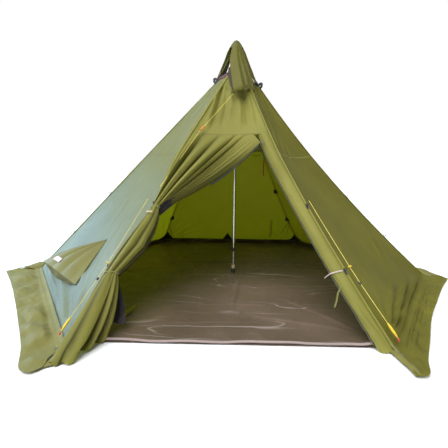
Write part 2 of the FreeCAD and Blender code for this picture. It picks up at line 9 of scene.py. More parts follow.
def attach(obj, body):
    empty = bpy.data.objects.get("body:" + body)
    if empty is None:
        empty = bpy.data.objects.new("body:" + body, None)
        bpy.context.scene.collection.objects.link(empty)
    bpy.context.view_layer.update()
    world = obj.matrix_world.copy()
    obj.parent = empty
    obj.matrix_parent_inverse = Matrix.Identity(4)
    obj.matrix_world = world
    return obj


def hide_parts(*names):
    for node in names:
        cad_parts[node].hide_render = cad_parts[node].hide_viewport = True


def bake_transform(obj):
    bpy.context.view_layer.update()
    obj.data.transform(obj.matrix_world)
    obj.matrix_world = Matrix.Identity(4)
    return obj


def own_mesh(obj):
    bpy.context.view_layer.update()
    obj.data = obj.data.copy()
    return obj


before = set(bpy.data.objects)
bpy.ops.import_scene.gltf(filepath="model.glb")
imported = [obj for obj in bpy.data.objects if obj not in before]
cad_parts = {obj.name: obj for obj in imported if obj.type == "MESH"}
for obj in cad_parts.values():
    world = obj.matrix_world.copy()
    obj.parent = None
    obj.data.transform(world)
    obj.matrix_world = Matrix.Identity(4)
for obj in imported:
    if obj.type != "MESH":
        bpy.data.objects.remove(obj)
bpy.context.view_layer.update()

# ------------------------------------------------------------------ camera

LENS = 31.065
CAMERA_PLACE = (0.0148, -4.1966, 1.1529)
YAW, PITCH, ROLL = -1.1796, -8.1587, 0.6426


def make_camera():
    yaw, pitch, roll = (math.radians(angle) for angle in (YAW, PITCH, ROLL))
    level = math.cos(pitch)
    ahead = Vector((math.sin(yaw) * level, math.cos(yaw) * level, math.sin(pitch)))
    right = Vector((math.cos(yaw), -math.sin(yaw), 0))
    up = right.cross(ahead)
    axis_x = math.cos(roll) * right + math.sin(roll) * up
    axis_y = -math.sin(roll) * right + math.cos(roll) * up
    turn = Matrix((axis_x, axis_y, -ahead)).transposed().to_4x4()
    camera = bpy.data.objects.new("camera", bpy.data.cameras.new("camera"))
    camera.data.lens = LENS
    camera.matrix_world = Matrix.Translation(CAMERA_PLACE) @ turn
    bpy.context.collection.objects.link(camera)
    bpy.context.scene.camera = camera


make_camera()

# ------------------------------------------------------------------ materials


class Nodes:
    """A node tree and short calls that add nodes to it."""

    def __init__(self, tree):
        self.tree = tree
        self.tree.nodes.clear()

    def node(self, kind, links=None, **values):
        made = self.tree.nodes.new(kind)
        for key, value in values.items():
            setattr(made, key, value)
        for key, value in (links or {}).items():
            socket = made.inputs[key]
            if isinstance(value, bpy.types.NodeSocket):
                self.tree.links.new(value, socket)
            else:
                socket.default_value = value
        return made

    def math(self, kind, first, second=0.0):
        return self.node("ShaderNodeMath", {0: first, 1: second}, operation=kind).outputs[0]

    def clamped(self, value):
        return self.math("MINIMUM", self.math("MAXIMUM", value, 0.0), 1.0)

    def place(self, uv=True):
        coords = self.node("ShaderNodeTexCoord")
        return coords.outputs["UV" if uv else "Object"]

    def scaled(self, place, scale, turn=(0, 0, 0)):
        return self.node("ShaderNodeMapping", {0: place, "Scale": scale, "Rotation": turn}).outputs[0]

    def noise(self, place, scale, detail=3.0, rough=0.55):
        links = {"Vector": place, "Scale": scale, "Detail": detail, "Roughness": rough}
        return self.node("ShaderNodeTexNoise", links).outputs[0]

    def wave(self, place, scale, axis):
        links = {"Vector": place, "Scale": scale, "Distortion": 0.0}
        return self.node("ShaderNodeTexWave", links, bands_direction=axis).outputs[1]

    def ramp(self, value, *stops):
        made = self.node("ShaderNodeValToRGB", {0: value})
        points = made.color_ramp.elements
        while len(points) < len(stops):
            points.new(0.5)
        for point, (place, colour) in zip(points, stops):
            point.position = place
            point.color = (*colour, 1)
        return made.outputs[0]

    def blend(self, share, first, second):
        made = self.node("ShaderNodeMix", data_type="RGBA")
        for index, value in ((0, share), (6, first), (7, second)):
            socket = made.inputs[index]
            if isinstance(value, bpy.types.NodeSocket):
                self.tree.links.new(value, socket)
            else:
                socket.default_value = (*value, 1) if isinstance(value, tuple) else value
        return made.outputs[2]

    def bump(self, height, strength, distance, before=None):
        links = {"Height": height, "Strength": strength, "Distance": distance}
        if before is not None:
            links["Normal"] = before
        return self.node("ShaderNodeBump", links).outputs[0]

    def principled(self, colour, rough, **values):
        links = {"Roughness": rough}
        if isinstance(colour, bpy.types.NodeSocket):
            links["Base Color"] = colour
        else:
            links["Base Color"] = (*colour, 1)
        for key, value in values.items():
            links[key.replace("_", " ")] = value
        return self.node("ShaderNodeBsdfPrincipled", links).outputs[0]

class Shader(Nodes):
    """A material's node tree."""

    def __init__(self, name):
        self.mat = bpy.data.materials.new(name)
        self.mat.use_nodes = True
        super().__init__(self.mat.node_tree)

    def finish(self, surface):
        self.node("ShaderNodeOutputMaterial", {0: surface})
        return self.mat


THREAD_WAVES = 45.0
GRID_WAVES, GRID_EDGE = 6.0, 0.97


def weave_bump(sh, place):
    """Plain weave with a ripstop grid."""
    across, along = sh.wave(place, THREAD_WAVES, "X"), sh.wave(place, THREAD_WAVES, "Y")
    over = sh.math("MULTIPLY", across, along)
    grid_x = sh.math("GREATER_THAN", sh.wave(place, GRID_WAVES, "X"), GRID_EDGE)
    grid_y = sh.math("GREATER_THAN", sh.wave(place, GRID_WAVES, "Y"), GRID_EDGE)
    height = sh.math("ADD", over, sh.math("MAXIMUM", grid_x, grid_y))
    return sh.bump(height, 0.12, 0.0006)


def dimmed(colour, share):
    return tuple(share * part for part in colour)


def cloth(name, light, dark, through, share=0.2, rough=0.55, crumple=0.5, sheen=0.05, gloss=0.15,
          tint=(1.0, 1.0, 1.0), upper=None, folded=False):
    """Coated tent cloth: weave, soft crumples, slow colour changes, and light showing through.

    upper is the cloth's own colour high on a panel; below it the light and dark colours hold a painted bluish sky
    reflection that fades towards upper, and the sheen fades with it.
    folded cloth gets painted shade: it is darkened by its own measure of how deep in a fold each place is.
    """
    sh = Shader(name)
    place = sh.place()
    slow = sh.noise(place, 1.3, 2.0)
    worn = sh.noise(sh.scaled(place, (1.0, 0.35, 1.0)), 9.0, 5.0, 0.6)
    base = sh.ramp(slow, (0.3, dark), (0.7, light))
    # painted sky reflection: bluish colours low on the panel, fading to upper higher up; the sheen weight fades with
    # them
    if upper:
        along, high, _ = sh.node("ShaderNodeSeparateXYZ", {0: place}).outputs
        level = sh.math("ADD", high, sh.math("MULTIPLY", along, 0.35))
        fade = sh.clamped(sh.math("SUBTRACT", sh.math("MULTIPLY", level, 0.80), 0.36))
        base = sh.blend(fade, base, upper)
        sheen = sh.math("MULTIPLY", sh.math("SUBTRACT", 1.15, fade), sheen)
    tone = sh.blend(sh.math("MULTIPLY", worn, 0.45), base, dimmed(dark, 0.72))
    # painted shade: the colour is pulled towards a near-black tone in the folds, by the fold attribute
    if folded:
        deep = sh.node("ShaderNodeAttribute", attribute_name="fold").outputs["Fac"]
        tone = sh.blend(deep, tone, dimmed(dark, 0.16))
    fine = sh.noise(sh.scaled(place, (1.0, 0.45, 1.0), (0, 0, 0.6)), 14.0, 4.0, 0.62)
    broad = sh.noise(sh.scaled(place, (1.0, 0.5, 1.0), (0, 0, -0.5)), 3.2, 3.0, 0.5)
    normal = sh.bump(fine, crumple, 0.006, sh.bump(broad, crumple, 0.02, weave_bump(sh, place)))
    front = sh.principled(tone, sh.math("ADD", sh.math("MULTIPLY", worn, 0.15), rough - 0.07),
                          Normal=normal, Sheen_Weight=sheen, Sheen_Roughness=0.4, Sheen_Tint=(*tint, 1),
                          Specular_IOR_Level=gloss)
    behind = sh.node("ShaderNodeBsdfTranslucent", {"Color": (*through, 1), "Normal": normal}).outputs[0]
    return sh.finish(sh.node("ShaderNodeMixShader", {0: share, 1: front, 2: behind}).outputs[0])


def floor_cloth(name, light, dark, glint_colour):
    """Coated groundsheet: slow colour changes, and fine lines that break up: they are bumps, and are also painted
    lighter as painted highlights.
    """
    sh = Shader(name)
    place = sh.place()
    tone = sh.ramp(sh.noise(place, 0.9, 3.0), (0.3, dark), (0.72, light))
    lines = []
    for turn, scale, seed in ((0.15, 1.7, 0.0), (-0.7, 1.1, 4.0), (0.9, 1.3, 9.0)):
        flat = sh.node("ShaderNodeMapping", {0: place, "Location": (seed, seed, 0.0), "Scale": (0.45, 2.2, 1.0),
                                             "Rotation": (0, 0, turn)}).outputs[0]
        value = sh.noise(flat, scale, 1.0, 0.3)
        off = sh.math("ABSOLUTE", sh.math("SUBTRACT", value, 0.5))
        line = sh.math("SUBTRACT", 1.0, sh.math("MULTIPLY", off, 95.0))
        gate = sh.math("MULTIPLY", sh.math("SUBTRACT", sh.noise(flat, 2.3, 2.0), 0.47), 9.0)
        lines.append(sh.math("MULTIPLY", sh.math("MAXIMUM", line, 0.0), sh.clamped(gate)))
    both = sh.math("MINIMUM", sh.math("ADD", sh.math("ADD", lines[0], lines[1]), lines[2]), 1.0)
    # painted highlight: the lines are mixed towards a pale colour
    tone = sh.blend(sh.math("MULTIPLY", both, 0.48), tone, glint_colour)
    broad = sh.noise(sh.scaled(place, (1.0, 0.6, 1.0), (0, 0, -0.5)), 2.6, 4.0, 0.55)
    fine = sh.noise(sh.scaled(place, (1.0, 0.5, 1.0), (0, 0, 0.6)), 9.0, 4.0, 0.6)
    normal = sh.bump(both, 0.7, 0.010, sh.bump(fine, 0.5, 0.008, sh.bump(broad, 0.7, 0.04, weave_bump(sh, place))))
    gloss = sh.math("ADD", sh.math("MULTIPLY", fine, 0.22), 0.26)
    return sh.finish(sh.principled(tone, gloss, Normal=normal, Specular_IOR_Level=0.55, Sheen_Weight=0.05))


def webbing(name, colour, pale=None, scale=1.0):
    """Woven tape: ribs across it, and fuzz."""
    sh = Shader(name)
    place = sh.place()
    ribs = sh.wave(place, 60.0 * scale, "Y")
    chevron = sh.wave(sh.scaled(place, (1, 1, 1), (0, 0, 0.8)), 45.0 * scale, "X")
    fuzz = sh.noise(place, 220.0, 3.0)
    tone = sh.blend(sh.math("MULTIPLY", fuzz, 0.6), colour, pale or tuple(1.6 * part + 0.01 for part in colour))
    height = sh.math("ADD", sh.math("MULTIPLY", ribs, chevron), sh.math("MULTIPLY", fuzz, 0.5))
    return sh.finish(sh.principled(tone, 0.75, Normal=sh.bump(height, 0.5, 0.0008), Sheen_Weight=0.2))
MESH_WAVES = 220.0 / 6.28
def netting(name, colour, hole=0.55, sheen=0.3):
    """Fine mesh: threads with holes between them."""
    sh = Shader(name)
    place = sh.place()
    across, along = sh.wave(place, MESH_WAVES, "X"), sh.wave(place, MESH_WAVES, "Y")
    thread = sh.math("MAXIMUM", across, along)
    cover = sh.math("GREATER_THAN", thread, hole)
    uneven = sh.noise(place, 12.0, 3.0)
    tone = sh.blend(sh.math("MULTIPLY", uneven, 0.6), colour, dimmed(colour, 0.5))
    solid = sh.principled(tone, 0.7, Normal=sh.bump(thread, 0.4, 0.0006), Sheen_Weight=sheen, Specular_IOR_Level=0.2)
    clear = sh.node("ShaderNodeBsdfTransparent").outputs[0]
    return sh.finish(sh.node("ShaderNodeMixShader", {0: cover, 1: clear, 2: solid}).outputs[0])


def plastic(name, colour, rough=0.4):
    """Moulded plastic: grain and rubbed spots."""
    sh = Shader(name)
    place = sh.place(uv=False)
    grain = sh.noise(place, 900.0, 3.0)
    rub = sh.noise(place, 70.0, 4.0)
    tone = sh.blend(sh.math("MULTIPLY", rub, 0.3), colour, tuple(min(1.0, 1.4 * part + 0.02) for part in colour))
    gloss = sh.math("ADD", sh.math("MULTIPLY", rub, 0.25), rough - 0.1)
    return sh.finish(sh.principled(tone, gloss, Normal=sh.bump(grain, 0.25, 0.0003)))


def alloy(name, colour, rough=0.28):
    """Drawn metal tube: fine lines along it and faint smudges."""
    sh = Shader(name)
    place = sh.place(uv=False)
    lines = sh.noise(sh.scaled(place, (1, 1, 0.01)), 900.0, 2.0)
    smudge = sh.noise(sh.scaled(place, (1, 1, 0.3)), 25.0, 4.0)
    tone = sh.blend(sh.math("MULTIPLY", smudge, 0.5), colour, dimmed(colour, 0.7))
    gloss = sh.math("ADD", sh.math("MULTIPLY", smudge, 0.2), rough - 0.1)
    return sh.finish(sh.principled(tone, gloss, Normal=sh.bump(lines, 0.15, 0.0002), Metallic=1.0))


def rope(name, colour, fleck):
    """Braided cord: slanting strands with a fleck."""
    sh = Shader(name)
    place = sh.place(uv=False)
    braid = sh.wave(sh.scaled(place, (1, 1, 1), (0.6, 0.8, 0.3)), 90.0, "DIAGONAL")
    tone = sh.blend(sh.math("MULTIPLY", sh.noise(place, 160.0, 2.0), 0.5), colour, fleck)
    return sh.finish(sh.principled(tone, 0.55, Normal=sh.bump(braid, 0.6, 0.0008), Sheen_Weight=0.15))


OLIVE = dict(light=(0.335, 0.310, 0.072), dark=(0.240, 0.225, 0.048), through=(0.40, 0.43, 0.004))
MATS = {
    "wall": cloth("wall_cloth", **OLIVE),
    # front left wall: the same cloth with a painted bluish sky reflection in its colours, and a bluish sheen tint that
    # stands in for reflected sky
    "wall_left_painted_sky": cloth("wall_left_painted_sky_cloth", (0.280, 0.305, 0.150), (0.185, 0.208, 0.105), (0.40, 0.43, 0.004),
                       sheen=0.46, gloss=0.30, tint=(0.36, 0.68, 1.0), upper=(0.235, 0.228, 0.068)),
    # front right wall: the same cloth made darker and less translucent, as painted shade
    "wall_right_painted_shade": cloth("wall_right_painted_shade_cloth", (0.205, 0.188, 0.032), (0.142, 0.130, 0.022), (0.36, 0.39, 0.003),
                        share=0.13, gloss=0.08, sheen=0.02),
    "seam": cloth("seam_cloth", (0.285, 0.265, 0.062), (0.225, 0.208, 0.048), (0.16, 0.16, 0.005), share=0.15),
    # the door cloth gets painted shade in its folds
    "door": cloth("door_cloth", **OLIVE, crumple=0.35, share=0.22, folded=True),
    "hood": cloth("hood_cloth", (0.150, 0.136, 0.026), (0.105, 0.095, 0.018), (0.2, 0.2, 0.01), share=0.12),
    "flap": cloth("flap_cloth", (0.185, 0.170, 0.032), (0.130, 0.120, 0.022), (0.2, 0.2, 0.01), share=0.12),
    "canopy": cloth("canopy_cloth", (0.25, 0.235, 0.08), (0.19, 0.18, 0.055), (0.2, 0.2, 0.01), share=0.08),
    # the tuck under the flap's left edge: near-black brown with no light through, as painted shade of a dark inner fold
    "tuck_painted_shade": cloth("tuck_painted_shade_cloth", (0.075, 0.058, 0.03), (0.045, 0.036, 0.02), (0.02, 0.02, 0.01), share=0.0),
    "band": webbing("crown_band_webbing", (0.07, 0.012, 0.012), (0.12, 0.03, 0.025)),
    "label": cloth("label_cloth", (0.86, 0.74, 0.74), (0.8, 0.66, 0.68), (0.1, 0.1, 0.1), share=0.0, rough=0.6),
    "hem_inside": cloth("hem_inside_cloth", (0.32, 0.36, 0.10), (0.25, 0.29, 0.07), (0.30, 0.36, 0.04), share=0.3),
    "pale_mesh": netting("back_vent_mesh", (0.34, 0.36, 0.16), hole=0.35),
    "tab": cloth("tab_cloth", (0.34, 0.33, 0.03), (0.26, 0.25, 0.02), (0.3, 0.3, 0.02), share=0.2),
    "valance": cloth("valance_cloth", (0.285, 0.262, 0.075), (0.200, 0.188, 0.050), (0.2, 0.2, 0.02), share=0.08,
                     crumple=0.9, rough=0.6),
    # the floor's last colour is the painted highlight on its lines
    "floor": floor_cloth("floor_cloth", (0.185, 0.128, 0.092), (0.088, 0.060, 0.040), (0.50, 0.40, 0.36)),
    "floor_edge": cloth("floor_edge_cloth", (0.42, 0.33, 0.30), (0.30, 0.23, 0.21), (0.1, 0.1, 0.1),
                        share=0.0, rough=0.5),
    "net": netting("door_net", (0.058, 0.046, 0.050), hole=0.78, sheen=0.1),
    "black_mesh": netting("vent_mesh", (0.005, 0.0045, 0.004), hole=0.12, sheen=0.0),
    "webbing_black": webbing("webbing_black", (0.012, 0.012, 0.012)),
    "webbing_pale": webbing("webbing_pale", (0.52, 0.42, 0.34), (0.7, 0.62, 0.55)),
    "webbing_red": webbing("webbing_red", (0.42, 0.035, 0.012)),
    "webbing_green": webbing("webbing_green", (0.16, 0.16, 0.035)),
    "zip": webbing("zip_tape", (0.022, 0.022, 0.014), scale=2.0),
    "zip_coil": plastic("zip_coil", (0.10, 0.095, 0.05), 0.5),
    "steel": alloy("ring_steel", (0.6, 0.6, 0.6), 0.3),
    "alloy": alloy("pole_alloy", (0.78, 0.78, 0.78), 0.2),
    "black": plastic("plastic_black", (0.02, 0.02, 0.02)),
    "beige": plastic("plastic_beige", (0.55, 0.45, 0.3)),
    "rubber": plastic("foot_rubber", (0.03, 0.028, 0.026), 0.7),
    "yellow": plastic("plastic_yellow", (0.72, 0.5, 0.02)),
    "orange": plastic("plastic_orange", (0.75, 0.22, 0.03)),
    "cord": rope("cord_yellow", (0.75, 0.6, 0.06), (0.9, 0.8, 0.3)),
    "cord_black": rope("cord_black", (0.015, 0.015, 0.015), (0.05, 0.05, 0.05)),
    "wire": alloy("stay_wire", (0.35, 0.35, 0.35), 0.4),
}

# ------------------------------------------------------------------ mesh helpers


UP = np.array([0, 0, 1.0])


def away(angle, rise=0.0):
    """Direction out from the tent's middle at an angle, level or rising."""
    turn = math.radians(angle)
    return np.array([math.cos(turn), math.sin(turn), rise])


def distances(line):
    """Distance along a line to each of its points."""
    return np.concatenate([[0], np.cumsum(np.linalg.norm(np.diff(line, axis=0), axis=1))])


def resample(where, at, line):
    """Points at the places where, on a line whose own points lie at the places at."""
    return np.stack([np.interp(where, at, line[:, axis]) for axis in range(line.shape[1])], axis=1)


def add_mesh(name, points, faces, mat, uvs=None, body="tent"):
    """One mesh piece that rides on a body. uvs holds one pair per point, in metres."""
    mesh = bpy.data.meshes.new(name)
    mesh.from_pydata([tuple(map(float, point)) for point in points], [], faces)
    mesh.validate()
    if uvs is not None:
        layer = mesh.uv_layers.new(name="cloth")
        index = np.empty(len(mesh.loops), int)
        mesh.loops.foreach_get("vertex_index", index)
        layer.data.foreach_set("uv", np.asarray(uvs, float)[index].astype(np.float32).ravel())
    mesh.materials.append(MATS[mat])
    mesh.polygons.foreach_set("use_smooth", [True] * len(mesh.polygons))
    piece = bpy.data.objects.new(name, mesh)
    bpy.context.collection.objects.link(piece)
    if body:
        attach(piece, body)
    return piece


def grid_faces(rows, cols, ring=False, start=0):
    faces = []
    for row in range(rows - 1):
        for col in range(cols if ring else cols - 1):
            after = (col + 1) % cols
            base = start + row * cols
            faces.append((base + col, base + after, base + cols + after, base + cols + col))
    return faces


def flat_places(points):
    """Place of each point of a rows by columns sheet when it is laid flat, in metres."""
    across = np.linalg.norm(np.diff(points, axis=1), axis=2).mean(0)
    along = np.linalg.norm(np.diff(points, axis=0), axis=2).mean(1)
    col_at, row_at = np.concatenate([[0], np.cumsum(across)]), np.concatenate([[0], np.cumsum(along)])
    return np.stack(np.meshgrid(col_at, row_at), axis=2)


def thicken(piece, thick):
    if thick:
        solid = piece.modifiers.new("thickness", "SOLIDIFY")
        solid.thickness, solid.offset = thick, 0.0
    return piece


def grid_piece(name, points, mat, uvs=None, thick=0.0, body="tent"):
    """A sheet from a rows by columns array of points, with a solid thickness if asked."""
    if uvs is None:
        uvs = flat_places(points)
    faces = grid_faces(*points.shape[:2])
    return thicken(add_mesh(name, points.reshape(-1, 3), faces, mat, uvs.reshape(-1, 2), body), thick)


def mark_fold_shade(piece, values):
    """Store how deep in a fold each vertex lies, from 0 to 1, for the material's painted shade in the folds."""
    layer = piece.data.attributes.new("fold", "FLOAT", "POINT")
    layer.data.foreach_set("value", np.clip(values, 0, 1).astype(np.float32).ravel())


def merged(name, parts, mat, thick=0.0):
    """Several grids as one piece."""
    points, uvs, faces = [], [], []
    for part in parts:
        faces += grid_faces(*part.shape[:2], start=sum(len(block) for block in points))
        uvs.append(flat_places(part).reshape(-1, 2))
        points.append(part.reshape(-1, 3))
    return thicken(add_mesh(name, np.concatenate(points), faces, mat, np.concatenate(uvs)), thick)


def unit(vector):
    return vector / np.maximum(np.linalg.norm(vector, axis=-1, keepdims=True), 1e-9)


def ribbon(line, across, width, bow=0.0, cols=3):
    """Rows by columns of points: a tape along a line, with its width along one direction or one per point."""
    line = np.asarray(line, float)
    across = unit(np.broadcast_to(np.asarray(across, float), line.shape))
    along = unit(np.gradient(line, axis=0))
    out = unit(np.cross(along, across))
    share = np.linspace(-0.5, 0.5, cols)
    return (line[:, None] + across[:, None] * (share * width)[None, :, None]
            + out[:, None] * (bow * (1 - 4 * share ** 2))[None, :, None])


def tube_points(line, radius, sides=8, flat=1.0):
    """Ring of points round each point of a line."""
    line = np.asarray(line, float)
    along = unit(np.gradient(line, axis=0))
    first = unit(np.cross(along, UP))
    second = np.cross(first, along)
    turn = np.arange(sides) * 2 * math.pi / sides
    radius = np.broadcast_to(np.asarray(radius, float), (len(line),))[:, None, None]
    return line[:, None] + radius * (first[:, None] * np.cos(turn)[None, :, None]
                                     + second[:, None] * (flat * np.sin(turn))[None, :, None])


def tubes(name, lines, radius, mat, sides=8, flat=1.0, body="tent", caps=True):
    """Closed round bars along several lines, as one piece."""
    points, faces, uvs = [], [], []
    for line in lines:
        block = tube_points(line, radius, sides, flat)
        start, rows = len(points), len(block)
        points += list(block.reshape(-1, 3))
        at = distances(np.asarray(line, float))
        uvs += [(side / sides * 0.03, step) for step in at for side in range(sides)]
        faces += grid_faces(rows, sides, ring=True, start=start)
        if caps:
            faces.append(tuple(start + side for side in reversed(range(sides))))
            faces.append(tuple(start + (rows - 1) * sides + side for side in range(sides)))
    return add_mesh(name, points, faces, mat, uvs, body)


def smooth_line(knots, count):
    """Points on a smooth line through the knots."""
    knots = np.asarray(knots, float)
    at = np.concatenate([[0], np.cumsum(np.linalg.norm(np.diff(knots, axis=0), axis=1) ** 0.5)])
    slope = np.gradient(knots, at, axis=0)
    where = np.linspace(0, at[-1], count)
    index = np.clip(np.searchsorted(at, where, side="right") - 1, 0, len(at) - 2)
    span = (at[index + 1] - at[index])[:, None]
    t = ((where - at[index]) / span[:, 0])[:, None]
    return ((2 * t ** 3 - 3 * t ** 2 + 1) * knots[index] + (t ** 3 - 2 * t ** 2 + t) * span * slope[index]
            + (-2 * t ** 3 + 3 * t ** 2) * knots[index + 1] + (t ** 3 - t ** 2) * span * slope[index + 1])


def step_up(x, low=0.0, high=1.0):
    x = np.clip((x - low) / (high - low), 0, 1)
    return x * x * (3 - 2 * x)


def rough_field(points, scale, seed=0.0):
    """Smooth noise between about -1 and 1 at each point."""
    flat = np.asarray(points, float).reshape(-1, 3) * scale
    values = [noise.noise((x + seed, y - seed, z + 2 * seed)) for x, y, z in flat]
    return np.array(values).reshape(points.shape[:-1]) * 1.6

# ------------------------------------------------------------------ the shape of the walls

HEIGHTS = (0.0, 1.29, 2.006, 2.2)
RADII = (2.15, 0.872, 0.235, 0.062)
SHIFTS = (0.0, -0.025, 0.036, 0.052)
# how far each corner seam follows the smooth curve instead of the straight runs
SOFT = {0: 0.9, 60: 0.7, 120: 0.7, 180: 0.35, 240: 0.65, 300: 0.75}
RADIUS_CURVE, SHIFT_CURVE = np.polyfit(HEIGHTS[:3], RADII[:3], 2), np.polyfit(HEIGHTS[:3], SHIFTS[:3], 2)
SEAM_Z, BACK_SEAM_Z, FRONT_SEAM, CROWN_Z = 1.29, 1.375, 1.48, 2.006
CROWN_RISE = 0.072
# share of that rise at each raised corner of the crown
RAISED = {180: 0.8, 240: 1.0}
SLOPE = 0.763
OUT_LEVEL, OUT_RISE = 0.77, 0.638


def seam(angle, z):
    """Points on a corner seam at the heights z."""
    angle %= 360
    z = np.asarray(z, float)
    soft = SOFT[angle]
    radius = (1 - soft) * np.interp(z, HEIGHTS, RADII) + soft * np.polyval(RADIUS_CURVE, z)
    shift = (1 - soft) * np.interp(z, HEIGHTS, SHIFTS) + soft * np.polyval(SHIFT_CURVE, z)
    turn = math.radians(angle)
    pull = 0.060 * np.exp(-((z - 0.86) / 0.24) ** 2) if angle == 240 else 0.0
    return np.stack([shift + pull + radius * math.cos(turn), radius * math.sin(turn), z], axis=-1)


def outward(angle):
    """Direction square to a side, away from the tent."""
    turn = math.radians(angle)
    return np.array([OUT_LEVEL * math.cos(turn), OUT_LEVEL * math.sin(turn), OUT_RISE])


def sideways(angle):
    turn = math.radians(angle)
    return np.array([-math.sin(turn), math.cos(turn), 0.0])


class Fold:
    """Soft ridges that fan out from a point on a panel, in metres along and up it."""

    def __init__(self, s, t, aim, spread, count, high, reach):
        self.values = (s, t, math.radians(aim), math.radians(spread), count, high, reach)

    def height(self, s, t):
        s0, t0, aim, spread, count, high, reach = self.values
        far = np.hypot(s - s0, t - t0)
        turn = (np.arctan2(t - t0, s - s0) - aim + math.pi) % (2 * math.pi) - math.pi
        inside = step_up(1 - np.abs(turn) / spread, 0, 0.35)
        ridge = (0.5 + 0.5 * np.cos(math.pi * count * turn / spread + 1.3 * np.sin(2.3 * turn / spread + count))) ** 2
        return high * inside * (ridge - 0.38) * (1 - np.exp(-far / 0.08)) * np.exp(-(far / reach) ** 2)


class Crease:
    """One ridge along a line on a panel."""

    def __init__(self, start, end, width, high):
        self.values = (np.array(start, float), np.array(end, float), width, high)

    def height(self, s, t):
        start, end, width, high = self.values
        along = end - start
        length = np.linalg.norm(along)
        along = along / length
        down = (s - start[0]) * along[0] + (t - start[1]) * along[1]
        side = (s - start[0]) * -along[1] + (t - start[1]) * along[0]
        side = side + 0.25 * width * np.sin(9 * down / length)
        ends = step_up(down / length, -0.02, 0.25) * step_up(1 - down / length, -0.02, 0.25)
        return high * ends * np.exp(-(side / width) ** 2)


def panel_folds(angle):
    """The folds of each side: fans at the pegs, at the guy patches and at the crown, and a few creases."""
    foot, low, high, top = 1.075, 0.84, 0.64, 0.12
    folds = [Fold(-foot, 0.0, 52, 40, 7, 0.016, 0.55), Fold(foot, 0.0, 128, 40, 6, 0.016, 0.55),
             Fold(-low, 0.565, 15, 55, 5, 0.008, 0.30), Fold(low, 0.565, 165, 55, 5, 0.008, 0.30),
             Fold(-high, 1.13, 10, 55, 4, 0.007, 0.28), Fold(high, 1.13, 170, 55, 4, 0.007, 0.28),
             Fold(-top, 2.70, -75, 38, 4, 0.010, 0.45), Fold(top, 2.70, -105, 38, 4, 0.010, 0.45)]
    creases = {
        330: [Crease((-1.05, 0.045), (0.80, 0.075), 0.014, 0.020), Crease((-1.03, 0.058), (0.55, 0.110), 0.012, -0.016),
              Crease((-1.02, 0.070), (0.45, 0.150), 0.014, 0.018), Crease((-1.00, 0.085), (0.25, 0.200), 0.014, -0.010),
              Crease((-0.98, 0.100), (0.05, 0.260), 0.016, 0.013),
              Crease((0.20, 0.35), (0.56, 0.80), 0.016, 0.006), Crease((0.45, 0.35), (0.72, 0.72), 0.016, 0.006),
              Crease((0.62, 0.20), (0.84, 0.52), 0.018, 0.007), Crease((0.02, 2.0), (-0.22, 1.66), 0.016, 0.007),
              Crease((0.05, 1.9), (-0.16, 1.62), 0.012, -0.006), Crease((-0.05, 2.2), (-0.3, 1.72), 0.016, 0.007)],
        210: [Crease((-1.00, 0.150), (1.04, 0.048), 0.024, 0.030), Crease((-0.95, 0.085), (1.04, 0.042), 0.016, -0.024),
              Crease((-0.65, 0.260), (1.02, 0.070), 0.022, 0.022), Crease((-0.35, 0.36), (0.98, 0.100), 0.018, -0.014),
              Crease((-0.1, 0.56), (0.92, 0.20), 0.020, 0.012), Crease((0.30, 0.62), (0.96, 0.16), 0.014, -0.006),
              Crease((0.2, 1.0), (0.62, 0.35), 0.03, 0.006), Crease((-0.1, 1.2), (0.1, 0.75), 0.03, 0.005)],
        270: [Crease((-0.115, 2.66), (-0.235, 1.98), 0.016, 0.016),
              Crease((-0.085, 2.66), (-0.190, 1.98), 0.011, -0.020),
              Crease((-0.04, 2.62), (-0.09, 2.00), 0.016, -0.008),
              Crease((0.00, 2.60), (-0.02, 2.10), 0.020, 0.008), Crease((0.05, 2.60), (0.09, 2.00), 0.020, 0.012),
              Crease((0.09, 2.62), (0.16, 2.00), 0.016, -0.012), Crease((0.13, 2.55), (0.22, 2.02), 0.014, 0.009)],
    }
    strong = {330: 1.7, 210: 1.15, 270: 1.5}.get(angle, 1.0)
    for crease in creases.get(angle, []):
        start, end, width, high = crease.values
        crease.values = (start, end, width, high * strong)
    return folds + creases.get(angle, [])


def wall_base(angle, u, z):
    """Points on a side before its folds; u runs from its first corner to its second."""
    first, second = seam(angle - 30, z), seam(angle + 30, z)
    return first + (second - first) * np.asarray(u)[..., None]


def wall_point(angle, u, z, lift=0.0):
    """Points on a side with its hollow and its folds, lifted outwards."""
    u, z = np.broadcast_arrays(np.asarray(u, float), np.asarray(z, float))
    base = wall_base(angle, u, z)
    out, along = outward(angle), sideways(angle)
    s, t = base @ along, z / SLOPE
    hollow = (0.016 if angle == 210 else 0.045) * np.sin(np.clip(z / 2.0, 0, 1) * math.pi) ** 0.8 * 4 * u * (1 - u)
    wave = sum(fold.height(s, t) for fold in panel_folds(angle))
    edge = step_up(u, 0, 0.03) * step_up(1 - u, 0, 0.03) * step_up(z, 0.0, 0.05) * step_up(2.012 - z, 0, 0.03)
    ripple = 0.0045 * np.sin(5.1 * s + 3.7 * t + angle) * np.sin(4.3 * t - 2.9 * s) * edge
    return base + out * (lift + wave * edge + ripple - hollow)[..., None]


def side_share(angle, s, z):
    """Share of the way across a side, at a place along it and a height."""
    first, second = seam(angle - 30, z), seam(angle + 30, z)
    along = sideways(angle)
    return (s - first @ along) / ((second - first) @ along)


PLAIN = {"front_right": 330, "back_right": 30, "back": 90, "back_left": 150, "front_left": 210}
WALL_COLS, WALL_ROWS = 97, 121


def wall_uv(angle, points):
    along = sideways(angle)
    return np.stack([points @ along, points[..., 2] / SLOPE], axis=-1)


